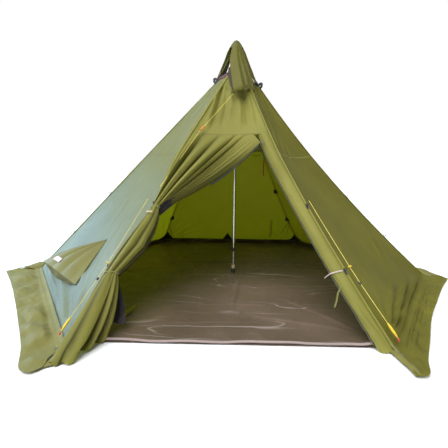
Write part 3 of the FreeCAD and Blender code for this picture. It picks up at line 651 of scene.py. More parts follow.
def make_walls():
    for name, angle in PLAIN.items():
        u, z = np.meshgrid(np.linspace(0, 1, WALL_COLS), np.linspace(0.002, CROWN_Z, WALL_ROWS))
        if angle == 210:
            z = z + CROWN_RISE * (0.8 + 0.2 * u) * step_up(z, 1.3, CROWN_Z)
        if angle == 150:
            z = z + CROWN_RISE * 0.8 * u * step_up(z, 1.3, CROWN_Z)
        points = wall_point(angle, u, z)
        nodes = [f"panel_{name}_lower", f"panel_{name}_upper"]
        if name == "front_left":
            keep = vent_hole(points)
            faces = [face for face, solid in zip(grid_faces(WALL_ROWS, WALL_COLS), keep) if solid]
            # the front left wall takes the copy with the painted sky reflection
            piece = add_mesh(f"wall_{name}", points.reshape(-1, 3), faces, "wall_left_painted_sky",
                             wall_uv(angle, points).reshape(-1, 2))
        else:
            # the front right wall takes the darkened copy: painted shade
            mat = "wall_right_painted_shade" if name == "front_right" else "wall"
            piece = grid_piece(f"wall_{name}", points, mat, wall_uv(angle, points))
        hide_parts(*nodes)
    u, z = np.meshgrid(np.linspace(0, 1, 61), np.linspace(FRONT_SEAM, CROWN_Z, 45))
    z = z + CROWN_RISE * (1 - u) * step_up(z, FRONT_SEAM, CROWN_Z)
    points = wall_point(270, u, z)
    piece = grid_piece("wall_front_top", points, "wall", wall_uv(270, points))
    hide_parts("front_top_panel")


VENT_ANGLE = 210
VENT_HOLE = (-0.10, 0.20, 0.24, 0.38)


def vent_hole(points):
    """True for each face of the wall that the vent's hole leaves."""
    s, t = points @ sideways(VENT_ANGLE), points[..., 2] / SLOPE
    mid_s = (s[:-1, :-1] + s[1:, 1:]) / 2
    mid_t = (t[:-1, :-1] + t[1:, 1:]) / 2
    left, right, foot, head = VENT_HOLE
    return ~((mid_s > left) & (mid_s < right) & (mid_t > foot) & (mid_t < head)).ravel()


def level_strip(angle, height, cols=60, half=0.006, lift=0.0015, ridge=0.001):
    """Three rows of points along a level seam, with a low ridge."""
    u = np.linspace(0.002, 0.998, cols)
    foot, head = (wall_point(angle, u, np.full(cols, height + step), lift) for step in (-half, half))
    return np.stack([foot, (foot + head) / 2 + outward(angle) * ridge, head])


def make_seams():
    """Tapes over the corner seams, and the level seams across the sides."""
    parts = []
    for angle in range(0, 360, 60):
        z = np.linspace(0.005, 2.0 + CROWN_RISE * RAISED.get(angle, 0.0), 90)
        parts.append(ribbon(seam(angle, z) + away(angle, 0.8) * 0.003, sideways(angle), 0.024, bow=0.004, cols=5))
    piece = merged("corner_seams", parts, "wall")
    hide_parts("corner_tapes")
    strips = []
    for angle in PLAIN.values():
        strip = level_strip(angle, BACK_SEAM_Z if angle in (30, 90, 150) else SEAM_Z)
        if angle == 210:
            # its level seam takes the same painted sky reflection
            left = grid_piece("level_seam_left", strip, "wall_left_painted_sky", wall_uv(angle, strip))
        else:
            strips.append(strip)
    strips.append(level_strip(270, FRONT_SEAM, cols=40, half=0.007, lift=0.002, ridge=0.0015))
    piece = merged("level_seams", strips, "seam")


make_walls()
make_seams()

# ------------------------------------------------------------------ cords

CORD = 0.004
GUY_ROUTES = {
    "left": ((-0.6598, -1.1130, 0.9071), (-0.8758, -1.4940, 0.4634), (-1.0007, -1.6736, 0.2470),
             (-1.1092, -1.7912, 0.0708)),
    "right": ((0.6253, -1.1130, 0.9071), (0.8586, -1.4940, 0.4634), (0.9919, -1.6736, 0.2470),
              (1.1069, -1.7912, 0.0708)),
}
HOOD_ROUTE = ((0.0160, -0.3620, 1.8680), (-0.2619, -0.6133, 1.5144), (-0.2894, -0.6381, 1.4794),
              (-0.3090, -0.6673, 1.4462), (-0.5733, -1.0608, 0.9988))
PULL_ROUTE = ((0.4000, 0.6780, 1.3520), (0.4000, 0.6780, 1.2700))


def cord_curve(name, route, thick, mat):
    """Round cord whose line is one smooth spline with the route's points as its control points."""
    curve = bpy.data.curves.new(name, "CURVE")
    curve.dimensions = "3D"
    curve.resolution_u = 24
    spline = curve.splines.new("NURBS")
    spline.points.add(len(route) - 1)
    for point, place in zip(spline.points, route):
        point.co = (*place, 1)
    spline.order_u = 3
    spline.use_endpoint_u = True
    curve.bevel_depth = thick / 2
    curve.bevel_resolution = 3
    curve.use_fill_caps = True
    if mat:
        curve.materials.append(MATS[mat])
    piece = bpy.data.objects.new(name, curve)
    bpy.context.collection.objects.link(piece)
    return piece


def spline_line(route):
    """Points along the route's smooth spline."""
    guide = cord_curve("guide", route, 0.0, None)
    mesh = bpy.data.meshes.new_from_object(guide)
    line = np.array([vertex.co[:] for vertex in mesh.vertices])
    bpy.data.objects.remove(guide)
    bpy.data.meshes.remove(mesh)
    return line


def eased(route):
    """The route with a point beyond its last bend, so that its last run is straight past the bend."""
    points = [np.array(point) for point in route]
    before, last = np.linalg.norm(points[-2] - points[-3]), points[-1] - points[-2]
    share = 0.86 * min(1.0, before / np.linalg.norm(last))
    return [tuple(point) for point in points[:-1]] + [tuple(points[-2] + last * share), route[-1]]


def make_cords():
    for side, route in GUY_ROUTES.items():
        piece = cord_curve(f"guy_line_{side}", eased(route), CORD, "cord")
        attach(piece, "tent")
        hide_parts(f"guy_cord_{side}")
    line = spline_line(HOOD_ROUTE)
    line = resample(np.linspace(0, 1, 90), np.linspace(0, 1, len(line)), line)
    piece = tubes("hood_line", [line], CORD / 2, "cord", body=None)
    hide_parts("hood_cord")
    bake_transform(piece)
    piece = cord_curve("pull_line", PULL_ROUTE, 0.003, "cord_black")
    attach(piece, "pull")
    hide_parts("pull_cord")


make_cords()

# ------------------------------------------------------------------ doorway


def front_x(end, z):
    return seam(270 + 30 * end, z)[..., 0]


def front_at(x, z, lift=0.0):
    """Points on the front side at a place across it and a height."""
    x, z = np.broadcast_arrays(np.asarray(x, float), np.asarray(z, float))
    left, right = front_x(-1, z), front_x(1, z)
    return wall_point(270, (x - left) / (right - left), z, lift)


def zip_line(z):
    """Place across the front of the door's zip."""
    return front_x(1, z) - 0.098


ZIP_TOP = 1.409
STRIP_FOOT = 0.004


def make_strip():
    z = np.linspace(STRIP_FOOT, FRONT_SEAM, 90)
    share = np.linspace(0, 1, 11)
    left, right = zip_line(z), front_x(1, z)
    x = left[:, None] + (right - left)[:, None] * share
    height = np.repeat(z[:, None], 11, axis=1)
    puff = 0.014 * np.sin(share * math.pi)[None, :] * step_up(z, 0, 0.3)[:, None]
    wave = 0.006 * np.sin(7.0 * height + 4 * share[None, :]) * np.sin(3.1 * height + 1)
    curl = -0.016 * (1 - step_up(share, 0, 0.22))[None, :]
    points = front_at(x, height) + outward(270) * (puff + wave * (share * (1 - share) * 4) + curl)[..., None]
    piece = grid_piece("door_strip", points, "door")
    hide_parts("door_side_strip")
    tape = ribbon(points[2:-4, 0] - outward(270) * 0.003, [1.0, 0, 0], 0.020, cols=4)
    teeth = points[2:-4, 0] - np.array([0.010, 0, 0]) - outward(270) * 0.002
    tape_piece = grid_piece("zip_tape_right", tape, "zip")
    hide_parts("door_zip_tape")
    tubes("zip_coil_right", [teeth], 0.0022, "zip_coil", sides=6)
    inner = points[4:-12, 3] - outward(270) * 0.022
    net_tape = grid_piece("net_zip", ribbon(inner, [1.0, 0, 0], 0.016, cols=4), "zip")
    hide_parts("net_zip_tape")


TIE_ONE = 0.838
TIE_TWO = 0.395
# counts of broad folds and of small ones behind, and of columns and rows of the door cloth
BROAD, FINE, FOOT_FOLDS = 5, 12, 7
DOOR_COLS, DRAPE_ROWS, BUNDLE_ROWS, FOOT_ROWS = 260, 74, 44, 70
BUNDLE_HEIGHTS = (0.30, 0.395, 0.46, 0.56, 0.70, 0.80, 0.838, 0.90)
BUNDLE_WIDTHS = (0.050, 0.046, 0.062, 0.080, 0.064, 0.040, 0.027, 0.027)
BUNDLE_DEPTHS = (0.036, 0.032, 0.042, 0.052, 0.048, 0.030, 0.021, 0.021)


def hills(u, count, seed=0.0):
    """Rounded ridges with tight valleys between them, uneven in width, between about -0.6 and 0.4."""
    bent = u + 0.030 * np.sin(9.1 * u + seed) + 0.018 * np.sin(17.3 * u + 2 * seed)
    return (np.abs(np.sin(math.pi * count * bent)) ** 0.7 - 0.6) * (0.8 + 0.2 * np.sin(13.0 * u + seed))


def bundle_row(u, z):
    """The door cloth round the bundle at one height: across the front, then folded up small behind."""
    wide, deep = np.interp(z, BUNDLE_HEIGHTS, BUNDLE_WIDTHS), np.interp(z, BUNDLE_HEIGHTS, BUNDLE_DEPTHS)
    out, along = outward(270), sideways(270)
    middle = seam(240, z) + along * (wide * 0.97) + out * 0.006
    turn = math.pi * np.interp(u, (0, 0.62, 1), (-0.06, 1.0, 1.55))
    loose = step_up(u, 0.05, 0.2)
    ripple = 0.55 * hills(u, BROAD, 0.4 * z) + 0.10 * np.sin(31 * u + 9 * z)
    front = 1 + loose * ripple * (1 - step_up(u, 0.55, 0.7))
    tuck = step_up(u, 0.58, 0.68) * (0.9 * np.sin(2 * math.pi * FINE * u / 0.38) * step_up(1 - u, 0.0, 0.04) - 0.2)
    return (middle - along * (wide * np.cos(turn) * (1 + 0.10 * loose * np.sin(6 * z + 7 * u)))[:, None]
            + out * (deep * (np.sin(turn) * front + 0.75 * tuck))[:, None])


FOOT_PLACES = (0, 0.10, 0.18, 0.27, 0.36, 0.44, 0.52, 0.62, 0.80, 1.0)
FOOT_LINE = ((-1.066, -1.872), (-1.078, -1.985), (-1.062, -2.085), (-1.005, -2.128), (-0.930, -2.105),
             (-0.890, -1.985), (-0.855, -1.885), (-0.815, -1.735), (-0.880, -1.700), (-0.975, -1.790))


def drape_rows(u):
    """Rows of the door cloth from the top seam down to the upper tie, one column per place u."""
    out, along = outward(270), sideways(270)
    right_top = float(zip_line(np.array(ZIP_TOP)))
    z_top = FRONT_SEAM - 0.004 - (FRONT_SEAM - ZIP_TOP) * step_up(u, 0.88, 1.0)
    x_top = float(front_x(-1, np.array(FRONT_SEAM))) * (1 - u) + right_top * u
    top = front_at(np.maximum(x_top, front_x(-1, z_top) + 0.002), z_top)
    first = bundle_row(u, TIE_ONE)
    broad, fine = hills(u, BROAD), np.sin(2 * math.pi * 13 * u + 2 * np.sin(5 * u))
    rows = []
    for v in np.linspace(0, 1, DRAPE_ROWS):
        spread = 4 * v * (1 - v)
        row = top * (1 - v) + first * v
        shift = seam(240, row[0, 2]) + along * 0.002 - row[0]
        row = row + shift * np.exp(-u / 0.07)[:, None]
        deep = 0.190 * v ** 0.70 * (1 - v) ** 0.62
        small = 0.0035 * step_up(v, 0.15, 0.7) * (1 - v) ** 0.4
        free = step_up(u, 0.0, 0.10)
        row = row + out * ((broad * deep + fine * small + 0.030 * spread) * free)[:, None]
        row = row + np.array([0.35, 0.15, -1.0]) * (0.058 * spread * u ** 3)[:, None]
        edge = 1 - step_up(1 - u, 0, 0.06)
        row = row - out * (0.030 * edge * step_up(v, 0.05, 0.4) * (1 - v) ** 0.3)[:, None]
        rows.append(row)
    return rows


def foot_rows(u, start):
    """Rows of the door cloth from the lower tie to its crumpled foot on the ground."""
    along, rows = sideways(270), []
    knots = np.array([(x, y, 0.004) for x, y in FOOT_LINE])
    line = smooth_line(knots, 400)
    gap = distances(line)
    marks = [gap[np.argmin(np.linalg.norm(line - knot, axis=1))] for knot in knots]
    where = np.interp(u, FOOT_PLACES, marks)
    ground = resample(where, gap, line)
    side = unit(np.cross(np.gradient(ground, axis=0), UP))
    for v in np.linspace(0, 1, FOOT_ROWS)[1:]:
        ease = v ** 1.10
        row = start * (1 - ease) + ground * ease
        shift = seam(240, max(row[0, 2], 0.004)) + along * 0.002 - row[0]
        row = row + shift * (np.exp(-u / 0.10) * (1 - v ** 4))[:, None]
        free = step_up(u, 0.0, 0.08)
        front = free * (1 - step_up(u, 0.60, 0.72))
        folds = 0.052 * v ** 0.8 * hills(u, FOOT_FOLDS, 1.1 + 0.6 * v) * step_up(u, 0.03, 0.22) - 0.022 * v
        row = row + side * ((folds + 0.008 * v * np.sin(60 * u + 4 * v)) * front
                            + 0.020 * np.sin(2 * math.pi * FINE * u / 0.38) * step_up(u, 0.62, 0.72))[:, None]
        row = row + side * (0.026 * math.sin(math.pi * v) ** 0.9 * front * step_up(u, 0.2, 0.5))[:, None]
        crumple = 0.5 + 0.5 * np.sin(23 * u + 8 * v) * np.sin(41 * u - 13 * v)
        row[:, 2] = np.maximum(row[:, 2], 0.004) + 0.030 * step_up(v, 0.72, 1.0) * crumple
        rows.append(row)
    return rows


def door_strands(u):
    """The whole door cloth, from the top seam through both ties to the ground."""
    rows = drape_rows(u) + [bundle_row(u, z) for z in np.linspace(TIE_ONE, TIE_TWO, BUNDLE_ROWS)[1:]]
    return np.stack(rows + foot_rows(u, rows[-1]))


def door_fold_shade(u):
    """How strongly painted shade darkens each place of the door cloth, by how deep in a fold it lies, row by row."""
    rows = []
    for v in np.linspace(0, 1, DRAPE_ROWS):
        depth = np.clip((0.31 - hills(u, BROAD)) / 0.50, 0, 1) ** 1.1 * (0.30 + 0.70 * step_up(v, 0.05, 0.45))
        rows.append(0.85 * depth * step_up(u, 0.03, 0.12) * (1 - 0.3 * v ** 3))
    for z in np.linspace(TIE_ONE, TIE_TWO, BUNDLE_ROWS)[1:]:
        rows.append(0.80 * np.clip((0.28 - hills(u, BROAD, 0.4 * z)) / 0.5, 0, 1) ** 1.1 * step_up(u, 0.04, 0.16))
    for v in np.linspace(0, 1, FOOT_ROWS)[1:]:
        deep = np.clip((0.30 - hills(u, FOOT_FOLDS, 1.1 + 0.6 * v)) / 0.5, 0, 1) ** 1.1
        rows.append((0.60 + 0.25 * v) * deep * step_up(u, 0.05, 0.2))
    return np.stack(rows)


def make_door():
    u = np.linspace(0, 1, DOOR_COLS)
    strands = door_strands(u)
    uv = np.stack(np.meshgrid(u * 1.5, np.linspace(0, 2.0, len(strands))), axis=2)
    piece = grid_piece("door_cloth", strands, "door", uv)
    # painted shade in the door cloth's folds
    mark_fold_shade(piece, door_fold_shade(u))
    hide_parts("door_drape", "door_roll", "door_foot")
    edge = strands[2:40, -1]
    half = ribbon(edge - outward(270) * 0.002, [0.5, 0.2, -0.9], 0.016, cols=4)
    zip_piece = grid_piece("zip_tape_left", half + np.array([0.004, 0, -0.006]), "zip")
    coil = edge[:24] + np.array([0.003, -0.002, -0.006])
    tubes("zip_coil_left", [coil], 0.0025, "zip_coil", sides=6)
    ties = []
    for z, wide, deep in ((TIE_ONE, 0.034, 0.030), (TIE_TWO, 0.053, 0.042)):
        turn = np.linspace(0, 2 * math.pi, 40)
        place = seam(240, z) + sideways(270) * np.interp(z, BUNDLE_HEIGHTS, BUNDLE_WIDTHS)
        ring = place + sideways(270) * (wide * np.cos(turn))[:, None] + outward(270) * (deep * np.sin(turn))[:, None]
        ties.append(ribbon(ring, seam(240, z + 0.1) - seam(240, z), 0.011))
    piece = merged("door_ties", ties, "webbing_green", thick=0.002)
    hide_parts("tie_loops")
    make_net()


def make_net():
    """The net door, gathered behind the door cloth and down to the floor."""
    u = np.linspace(0, 1, DOOR_COLS)
    out, along = outward(270), sideways(270)
    door = door_strands(np.linspace(0, 1, 30))[:DRAPE_ROWS, 28]
    fold = np.sin(2 * math.pi * 15 * u + 1.5 * np.sin(6 * u)) * (0.8 + 0.2 * np.sin(11 * u))
    start = resample(0.45 + 0.48 * (1 - u), np.linspace(0, 1, DRAPE_ROWS), door)
    start = start - out * 0.045 + np.array([0, 0, 0.030])
    rows, first = [], TIE_ONE - 0.010

    def behind(z, wide, back):
        width = np.interp(z, BUNDLE_HEIGHTS, BUNDLE_WIDTHS)
        middle = seam(240, z) + along * width - out * back
        return middle + along * ((u - 0.5) * wide)[:, None] + out * (0.038 * fold)[:, None]

    for v in np.linspace(0, 1, 30):
        row = start * (1 - v) + behind(first, 0.05, 0.050) * v + out * (0.030 * fold * v ** 0.6 * (v < 1))[:, None]
        rows.append(row + np.array([0, 0, 0.015]) * 4 * v * (1 - v))
    for z in np.linspace(first, TIE_TWO, BUNDLE_ROWS)[1:]:
        share = (first - z) / (first - TIE_TWO)
        rows.append(behind(z, 0.05 + 0.07 * math.sin(math.pi * share), 0.050 + 0.030 * math.sin(math.pi * share)))
    last = rows[-1]
    place = np.stack([-0.742 - 0.12 * (1 - u), -1.615 + 0.05 * (1 - u) + 0 * u, 0.060 + 0 * u], axis=1)
    for v in np.linspace(0, 1, 36)[1:]:
        row = last * (1 - v) + place * v + out * (0.038 * fold * math.sin(math.pi * min(1, 0.5 + v / 2)) * v)[:, None]
        row = row + along * (0.030 * fold * v)[:, None] + along * 0.026 * math.sin(math.pi * v) ** 0.8
        row[:, 2] = np.maximum(row[:, 2], 0.012)
        rows.append(row)
    points = np.stack(rows)
    piece = grid_piece("net_door", points, "net")
    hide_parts("net_roll")


make_strip()
make_door()

# ------------------------------------------------------------------ ground

def ruck(points, scale, seed):
    """Height of crumpled cloth lying on the ground: sharp crests between flat patches."""
    crest = 1 - np.abs(rough_field(points, scale, seed))
    return np.clip(crest, 0, 1) ** 4


CORNER = {angle: np.array([2.15 * math.cos(math.radians(angle)), 2.15 * math.sin(math.radians(angle))])
          for angle in range(0, 360, 60)}
# outer edge of the cloth lying on the ground along each side, from its first corner to its second
SKIRTS = {
    "front_right": ((1.060, -2.155), (1.128, -2.150), (1.235, -1.935), (1.375, -1.675), (1.590, -1.270),
                    (1.850, -0.850), (2.140, -0.400), (2.352, -0.105)),
    "back_right": ((2.352, -0.095), (2.240, 0.300), (1.980, 0.790), (1.690, 1.290), (1.440, 1.720), (1.260, 2.080)),
    "back": ((1.250, 2.090), (0.820, 2.075), (0.300, 2.055), (-0.300, 2.055), (-0.820, 2.080), (-1.270, 2.105)),
    "back_left": ((-1.280, 2.095), (-1.480, 1.760), (-1.740, 1.310), (-2.010, 0.830), (-2.280, 0.330),
                  (-2.460, -0.100)),
    "front_left": ((-2.465, -0.110), (-2.190, -0.500), (-1.860, -1.010), (-1.570, -1.480), (-1.330, -1.880),
                   (-1.175, -2.175), (-1.110, -2.205), (-1.062, -2.150)),
}


def hem(angle, share):
    """Where a side meets the ground, from its first corner to its second."""
    first, second = CORNER[(angle - 30) % 360], CORNER[(angle + 30) % 360]
    return first + (second - first) * np.asarray(share)[:, None]


def even_line(knots, count):
    """Evenly spaced points on a smooth line through the knots."""
    line = smooth_line(np.asarray(knots, float), 400)
    at = distances(line)
    return resample(np.linspace(0, at[-1], count), at, line)


# two ridges of the front right skirt: how far out each lies, as a share, and its height
RIDGES = ((0.20, 0.030), (0.42, 0.020))


def skirt_points(angle, inner, outer, seed, rows=26):
    """Cloth from just above the hem, down the wall, and out over the ground to its edge."""
    cols = len(inner)
    turn = math.radians(angle)
    share = np.linspace(0, 1, cols)
    made = []
    for z in (0.034, 0.024, 0.014):
        edge = seam(angle - 30, z) + (seam(angle + 30, z) - seam(angle - 30, z)) * share[:, None]
        made.append(edge + outward(angle) * 0.007)
    along = sideways(angle)
    for depth in np.linspace(0, 1, rows):
        flat = inner * (1 - depth) + outer * depth
        row = np.column_stack([flat + np.array([math.cos(turn), math.sin(turn)]) * 0.012 * (1 - depth), 0 * share])
        s = row @ along
        fold = np.clip(rough_field(np.column_stack([s * 5.0, 0 * s + depth * 1.1, 0 * s]), 1.0, seed), -1, 1)
        fine = rough_field(np.column_stack([s * 13.0, 0 * s + depth * 5.0, 0 * s]), 1.0, seed + 5)
        high = 0.028 * (0.35 + fold) * step_up(depth, 0.02, 0.35) * (1 - 0.55 * step_up(depth, 0.6, 1.0))
        if angle == 330:
            ridge = sum(tall * math.exp(-((depth - place) / 0.07) ** 2) for place, tall in RIDGES)
            high = high + ridge * (1 - step_up(share, 0.55, 0.95)) * step_up(share, 0.03, 0.2)
        row[:, 2] = (0.005 + 0.011 * (1 - step_up(depth, 0, 0.15)) + np.maximum(high, 0)
                     + 0.005 * np.maximum(fine, 0) * step_up(depth, 0, 0.2))
        made.append(row)
    return np.stack(made)


def door_skirt(inner, outer, foot, ripple, bulge=0.0):
    """A strip of valance beside the doorway, between two lines on the ground."""
    inner, outer = even_line(inner, 30), even_line(outer, 30)
    rows = []
    for depth in np.linspace(0, 1, 12):
        row = inner * (1 - depth) + outer * depth
        high = foot + ripple * np.sin(19 * row[:, 1]) ** 2 + bulge * math.sin(math.pi * depth)
        rows.append(np.column_stack([row, high]))
    return np.stack(rows)


def make_valances():
    for number, (name, angle) in enumerate(PLAIN.items()):
        outer = even_line(SKIRTS[name], 150)
        points = skirt_points(angle, hem(angle, np.linspace(0, 1, 150)), outer, 3.0 + number)
        # the front right skirt takes the same darkened copy: painted shade
        piece = grid_piece(f"skirt_{name}", points, "wall_right_painted_shade" if name == "front_right" else "valance")
        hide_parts(f"valance_{name}")
    right = door_skirt([(1.010, -1.700), (1.020, -1.800), (1.032, -1.880), (1.048, -1.990), (1.062, -2.150)],
                       [(1.012, -1.745), (1.045, -1.810), (1.078, -1.868), (1.100, -1.990), (1.110, -2.140)],
                       0.009, 0.007, 0.012)
    left = door_skirt([(-1.062, -1.870), (-1.060, -1.990), (-1.066, -2.140)],
                      [(-0.985, -1.850), (-0.965, -1.960), (-0.960, -2.075)], 0.008, 0.006)
    piece = merged("skirt_door", [right, left], "valance")
    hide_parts("valance_door")


FLOOR_R = 2.055
POLE_X = 0.036
# reach of a hexagon at the middle of a side, beside its reach at a corner
HEX_FLAT = 0.8660254


def floor_height(x, y):
    """Height of the groundsheet: folds round the pole, long creases, and ripples along the door."""
    far, turn = np.hypot(x - POLE_X, y), np.arctan2(y, x - POLE_X)
    flat = np.stack([x, y, 0 * x], axis=-1)
    high = 0.004 * (0.5 + 0.5 * np.cos(9 * turn + 1.5 * np.sin(3 * turn) + 2 * far)) ** 3 * np.exp(-far / 0.9)
    high = high * step_up(far, 0.05, 0.2)
    high = high + 0.007 * ruck(flat, 1.7, 3.0) + 0.0035 * ruck(flat, 4.2, 7.0)
    creases = (((0.10, -0.25), (0.02, -1.20), 0.018, 0.012), ((-0.12, -1.20), (0.12, -1.23), 0.022, 0.016),
               ((0.40, -0.75), (0.98, -1.60), 0.020, 0.012), ((-0.75, -0.60), (0.30, -0.40), 0.022, 0.007),
               ((-0.60, -1.05), (0.50, -1.02), 0.020, 0.008), ((0.15, -1.25), (0.95, -1.55), 0.022, 0.009),
               ((-0.65, -1.45), (0.25, -1.38), 0.020, 0.008), ((-1.3, 0.4), (1.4, 0.55), 0.022, 0.007),
               ((0.2, 0.2), (1.5, 0.7), 0.02, 0.006), ((-0.2, 0.2), (-1.0, 1.3), 0.02, 0.006))
    for start, end, width, tall in creases:
        high = high + Crease(start, end, 0.7 * width, 1.5 * tall).height(x, y)
    edge = FLOOR_R * 0.866 - np.maximum.reduce([np.abs(x * math.cos(a) + y * math.sin(a))
                                                for a in np.radians([30, 90, 150])])
    return 0.003 + high * step_up(edge, 0.0, 0.06)


def make_floor():
    rings = 100
    points, index = [], {}
    for row in range(-rings, rings + 1):
        for col in range(-rings, rings + 1):
            if abs(row + col) <= rings:
                index[row, col] = len(points)
                points.append((FLOOR_R * (col + row / 2) / rings, FLOOR_R * row * HEX_FLAT / rings))
    faces = []
    for (row, col), here in index.items():
        right, up, left_up = index.get((row, col + 1)), index.get((row + 1, col)), index.get((row + 1, col - 1))
        if right is not None and up is not None:
            faces.append((here, right, up))
        if up is not None and left_up is not None:
            faces.append((here, up, left_up))
    flat = np.array(points)
    solid = np.column_stack([flat, floor_height(flat[:, 0], flat[:, 1])])
    piece = add_mesh("floor_sheet", solid, faces, "floor", flat)
    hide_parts("groundsheet")


def make_floor_rim():
    """The groundsheet's upright rim on the plain sides, and its rolled edge at the doorway."""
    parts = []
    for angle in PLAIN.values():
        s = np.linspace(-1.024, 1.024, 90)
        rows = []
        for v in np.linspace(0, 1, 7):
            bend = 0.010 * v * np.sin(13 * s + angle) + 0.006 * np.sin(31 * s)
            high = 0.003 + v * (0.058 + 0.006 * np.sin(9 * s + angle))
            reach = FLOOR_R * HEX_FLAT - 0.004 - 0.022 * v + bend * v
            rows.append(sideways(angle) * s[:, None] + away(angle) * reach[:, None] + UP * high[:, None])
        parts.append(np.stack(rows))
    piece = merged("floor_rim", parts, "floor")
    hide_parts("groundsheet_rim")
    s = np.linspace(-1.0, 1.0, 120)
    front = np.stack([s, -FLOOR_R * HEX_FLAT + 0.012 + 0.008 * np.sin(5 * s) + 0.004 * np.sin(17 * s),
                      0.012 + 0.006 * np.abs(np.sin(6 * s)) + 0.020 * step_up(s, 0.86, 0.99)], axis=1)
    tubes("floor_edge", [front], 0.011, "floor_edge", sides=10, flat=0.8)


make_valances()
make_floor()
make_floor_rim()

# ------------------------------------------------------------------ crown and hood

def hex_share(turn):
    """How far a hexagon with corners at 0, 60 and so on reaches at an angle, beside its corners."""
    return math.cos(math.radians(30)) / np.cos((turn % math.radians(60)) - math.radians(30))


def cone(turns, heights, radii, hexed=1.0):
    """Rows by columns of points round the tent's axis."""
    turn = np.asarray(turns)[None, :]
    reach = np.asarray(radii, float).reshape(len(heights), -1) * (1 + hexed * (hex_share(turn) - 1))
    z = np.repeat(np.asarray(heights, float)[:, None], turn.shape[1], axis=1)
    return np.stack([POLE_X + reach * np.cos(turn), reach * np.sin(turn), z], axis=-1)


HOOD_HEIGHTS = (2.455, 2.446, 2.42, 2.39, 2.34, 2.23, 2.12, 2.07, 2.02, 1.985)
HOOD_RADII = (0.004, 0.024, 0.044, 0.064, 0.094, 0.133, 0.176, 0.197, 0.222, 0.240)


def hood_radius(z):
    return np.interp(-np.asarray(z, float), [-h for h in HOOD_HEIGHTS], HOOD_RADII)


# how far the crown's wall leans in for each metre it rises
LEAN = 0.889


def make_crown_cloth():
    """The crown's band and the cone of vent mesh over it."""
    turns = np.linspace(0, 2 * math.pi, 121)
    rise = CROWN_RISE * np.interp(np.degrees(turns), (120, 180, 240, 300), (0, 0.8, 1.0, 0))[None, :]
    band = cone(turns, (1.998, 2.006, 2.014, 2.022, 2.032),
                np.array((0.236, 0.238, 0.237, 0.235, 0.231))[:, None] - LEAN * rise)
    band[..., 2] += rise
    piece = grid_piece("crown_hem", band, "band", thick=0.002)
    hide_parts("crown_band")
    heights = np.linspace(2.028, 2.345, 24)
    v = np.linspace(0, 1, 24)[:, None]
    radii = (0.226 * (1 - v) + 0.030 * v) * (1 - 0.10 * np.sin(math.pi * v))
    dent = 1 - 0.07 * np.sin(np.linspace(0, 1, 24) * math.pi)[:, None] * (np.abs(np.sin(3 * turns))[None, :])
    mesh = cone(turns, heights, radii * dent - 0.95 * rise * (1 - v))
    mesh[..., 2] += rise * (1 - v)
    piece = grid_piece("vent_mesh_cone", mesh, "black_mesh")
    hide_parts("crown_mesh")
def make_crown_webbing():
    """Six straps from the crown's band to the pole's top, and the cord loops at its corners."""
    straps = []
    for angle in range(0, 360, 60):
        turn = math.radians(angle)
        up = CROWN_RISE * RAISED.get(angle, 0.0)
        z = np.linspace(2.03 + up, 2.352, 16)
        share = np.linspace(up / 0.322, 1, 16)
        reach = (0.230 * (1 - share) + 0.036 * share) * (1 - 0.09 * np.sin(math.pi * share)) + 0.003
        line = np.stack([POLE_X + reach * math.cos(turn), reach * math.sin(turn), z], axis=1)
        straps.append(ribbon(line, sideways(angle), 0.016))
    piece = merged("crown_webbing", straps, "webbing_pale", thick=0.0015)
    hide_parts("crown_straps")
    loops = []
    for angle, base, wide in ((180, 2.050, 0.020), (0, 2.004, 0.020), (120, 2.010, 0.016), (60, 2.010, 0.016)):
        bend = np.linspace(0, 2 * math.pi, 22)
        reach = 0.232 - LEAN * (base - CROWN_Z) + wide * 0.9 * (1 - np.cos(bend))
        loops.append(np.array([POLE_X, 0, base - 0.006]) + away(angle) * reach[:, None]
                     + sideways(angle) * (0.008 * np.cos(bend))[:, None]
                     + UP * (0.021 * np.sin(bend) + 0.010 * (1 - np.cos(bend)))[:, None])
    tubes("crown_loops", loops, 0.0130, "cord_black", sides=8, caps=False)


def hood_gore(first, last, cols):
    """The hood from one angle to another, from the tip patch down to the hem."""
    turns = np.radians(np.linspace(first, last, cols))
    v = np.linspace(0, 1, 46)
    heights = 2.450 - 0.462 * v
    radii = hood_radius(heights)[:, None] * np.ones(cols)[None, :]
    wide = 1 + 0.14 * np.exp(-((turns - math.pi) / 0.5) ** 2)[None, :] * np.sin(math.pi * v ** 0.8)[:, None]
    sag = 1 - 0.05 * np.sin(v * math.pi)[:, None] * np.abs(np.sin(3 * turns))[None, :]
    fold = 0.010 * np.cos(26 * turns + 1.4)[None, :] + 0.007 * np.cos(43 * turns)[None, :]
    radii = radii * wide * sag + fold * step_up(v, 0.12, 0.8)[:, None]
    points = cone(turns, heights, radii)
    points[..., 2] += 0.010 * np.sin(7 * turns)[None, :] * step_up(v, 0.8, 1)[:, None]
    points[..., 2] += 0.052 * np.exp(-((turns - 3.35) / 0.45) ** 2)[None, :] * step_up(v, 0.55, 1)[:, None]
    return points


def make_hood():
    gores = hood_gore(301, 540, 150)
    piece = merged("hood_gores", [gores], "hood")
    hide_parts("hood_shell")
    axis = np.array([POLE_X, 0, 0])
    hem = axis + (gores[-3:] + np.array([0, 0, -0.002]) - axis) * np.array([1.012, 1.012, 1.0])
    piece = grid_piece("hood_hem", hem, "seam")
    turns = np.linspace(0, 2 * math.pi, 49)
    heights = np.array((2.4575, 2.456, 2.452, 2.446, 2.435, 2.42, 2.405, 2.39, 2.375))
    tip = cone(turns, heights, hood_radius(heights) + 0.003, 0.5)
    tip[0] = tip[0].mean(0)
    piece = grid_piece("hood_tip", tip, "hood")
    make_flap()
    make_hood_trim()


FLAP_TOP = np.array([POLE_X, -0.048, 2.436])
FLAP_FOOT = np.array([POLE_X, -0.356, 1.880])
FLAP_CORNER_X = 0.016


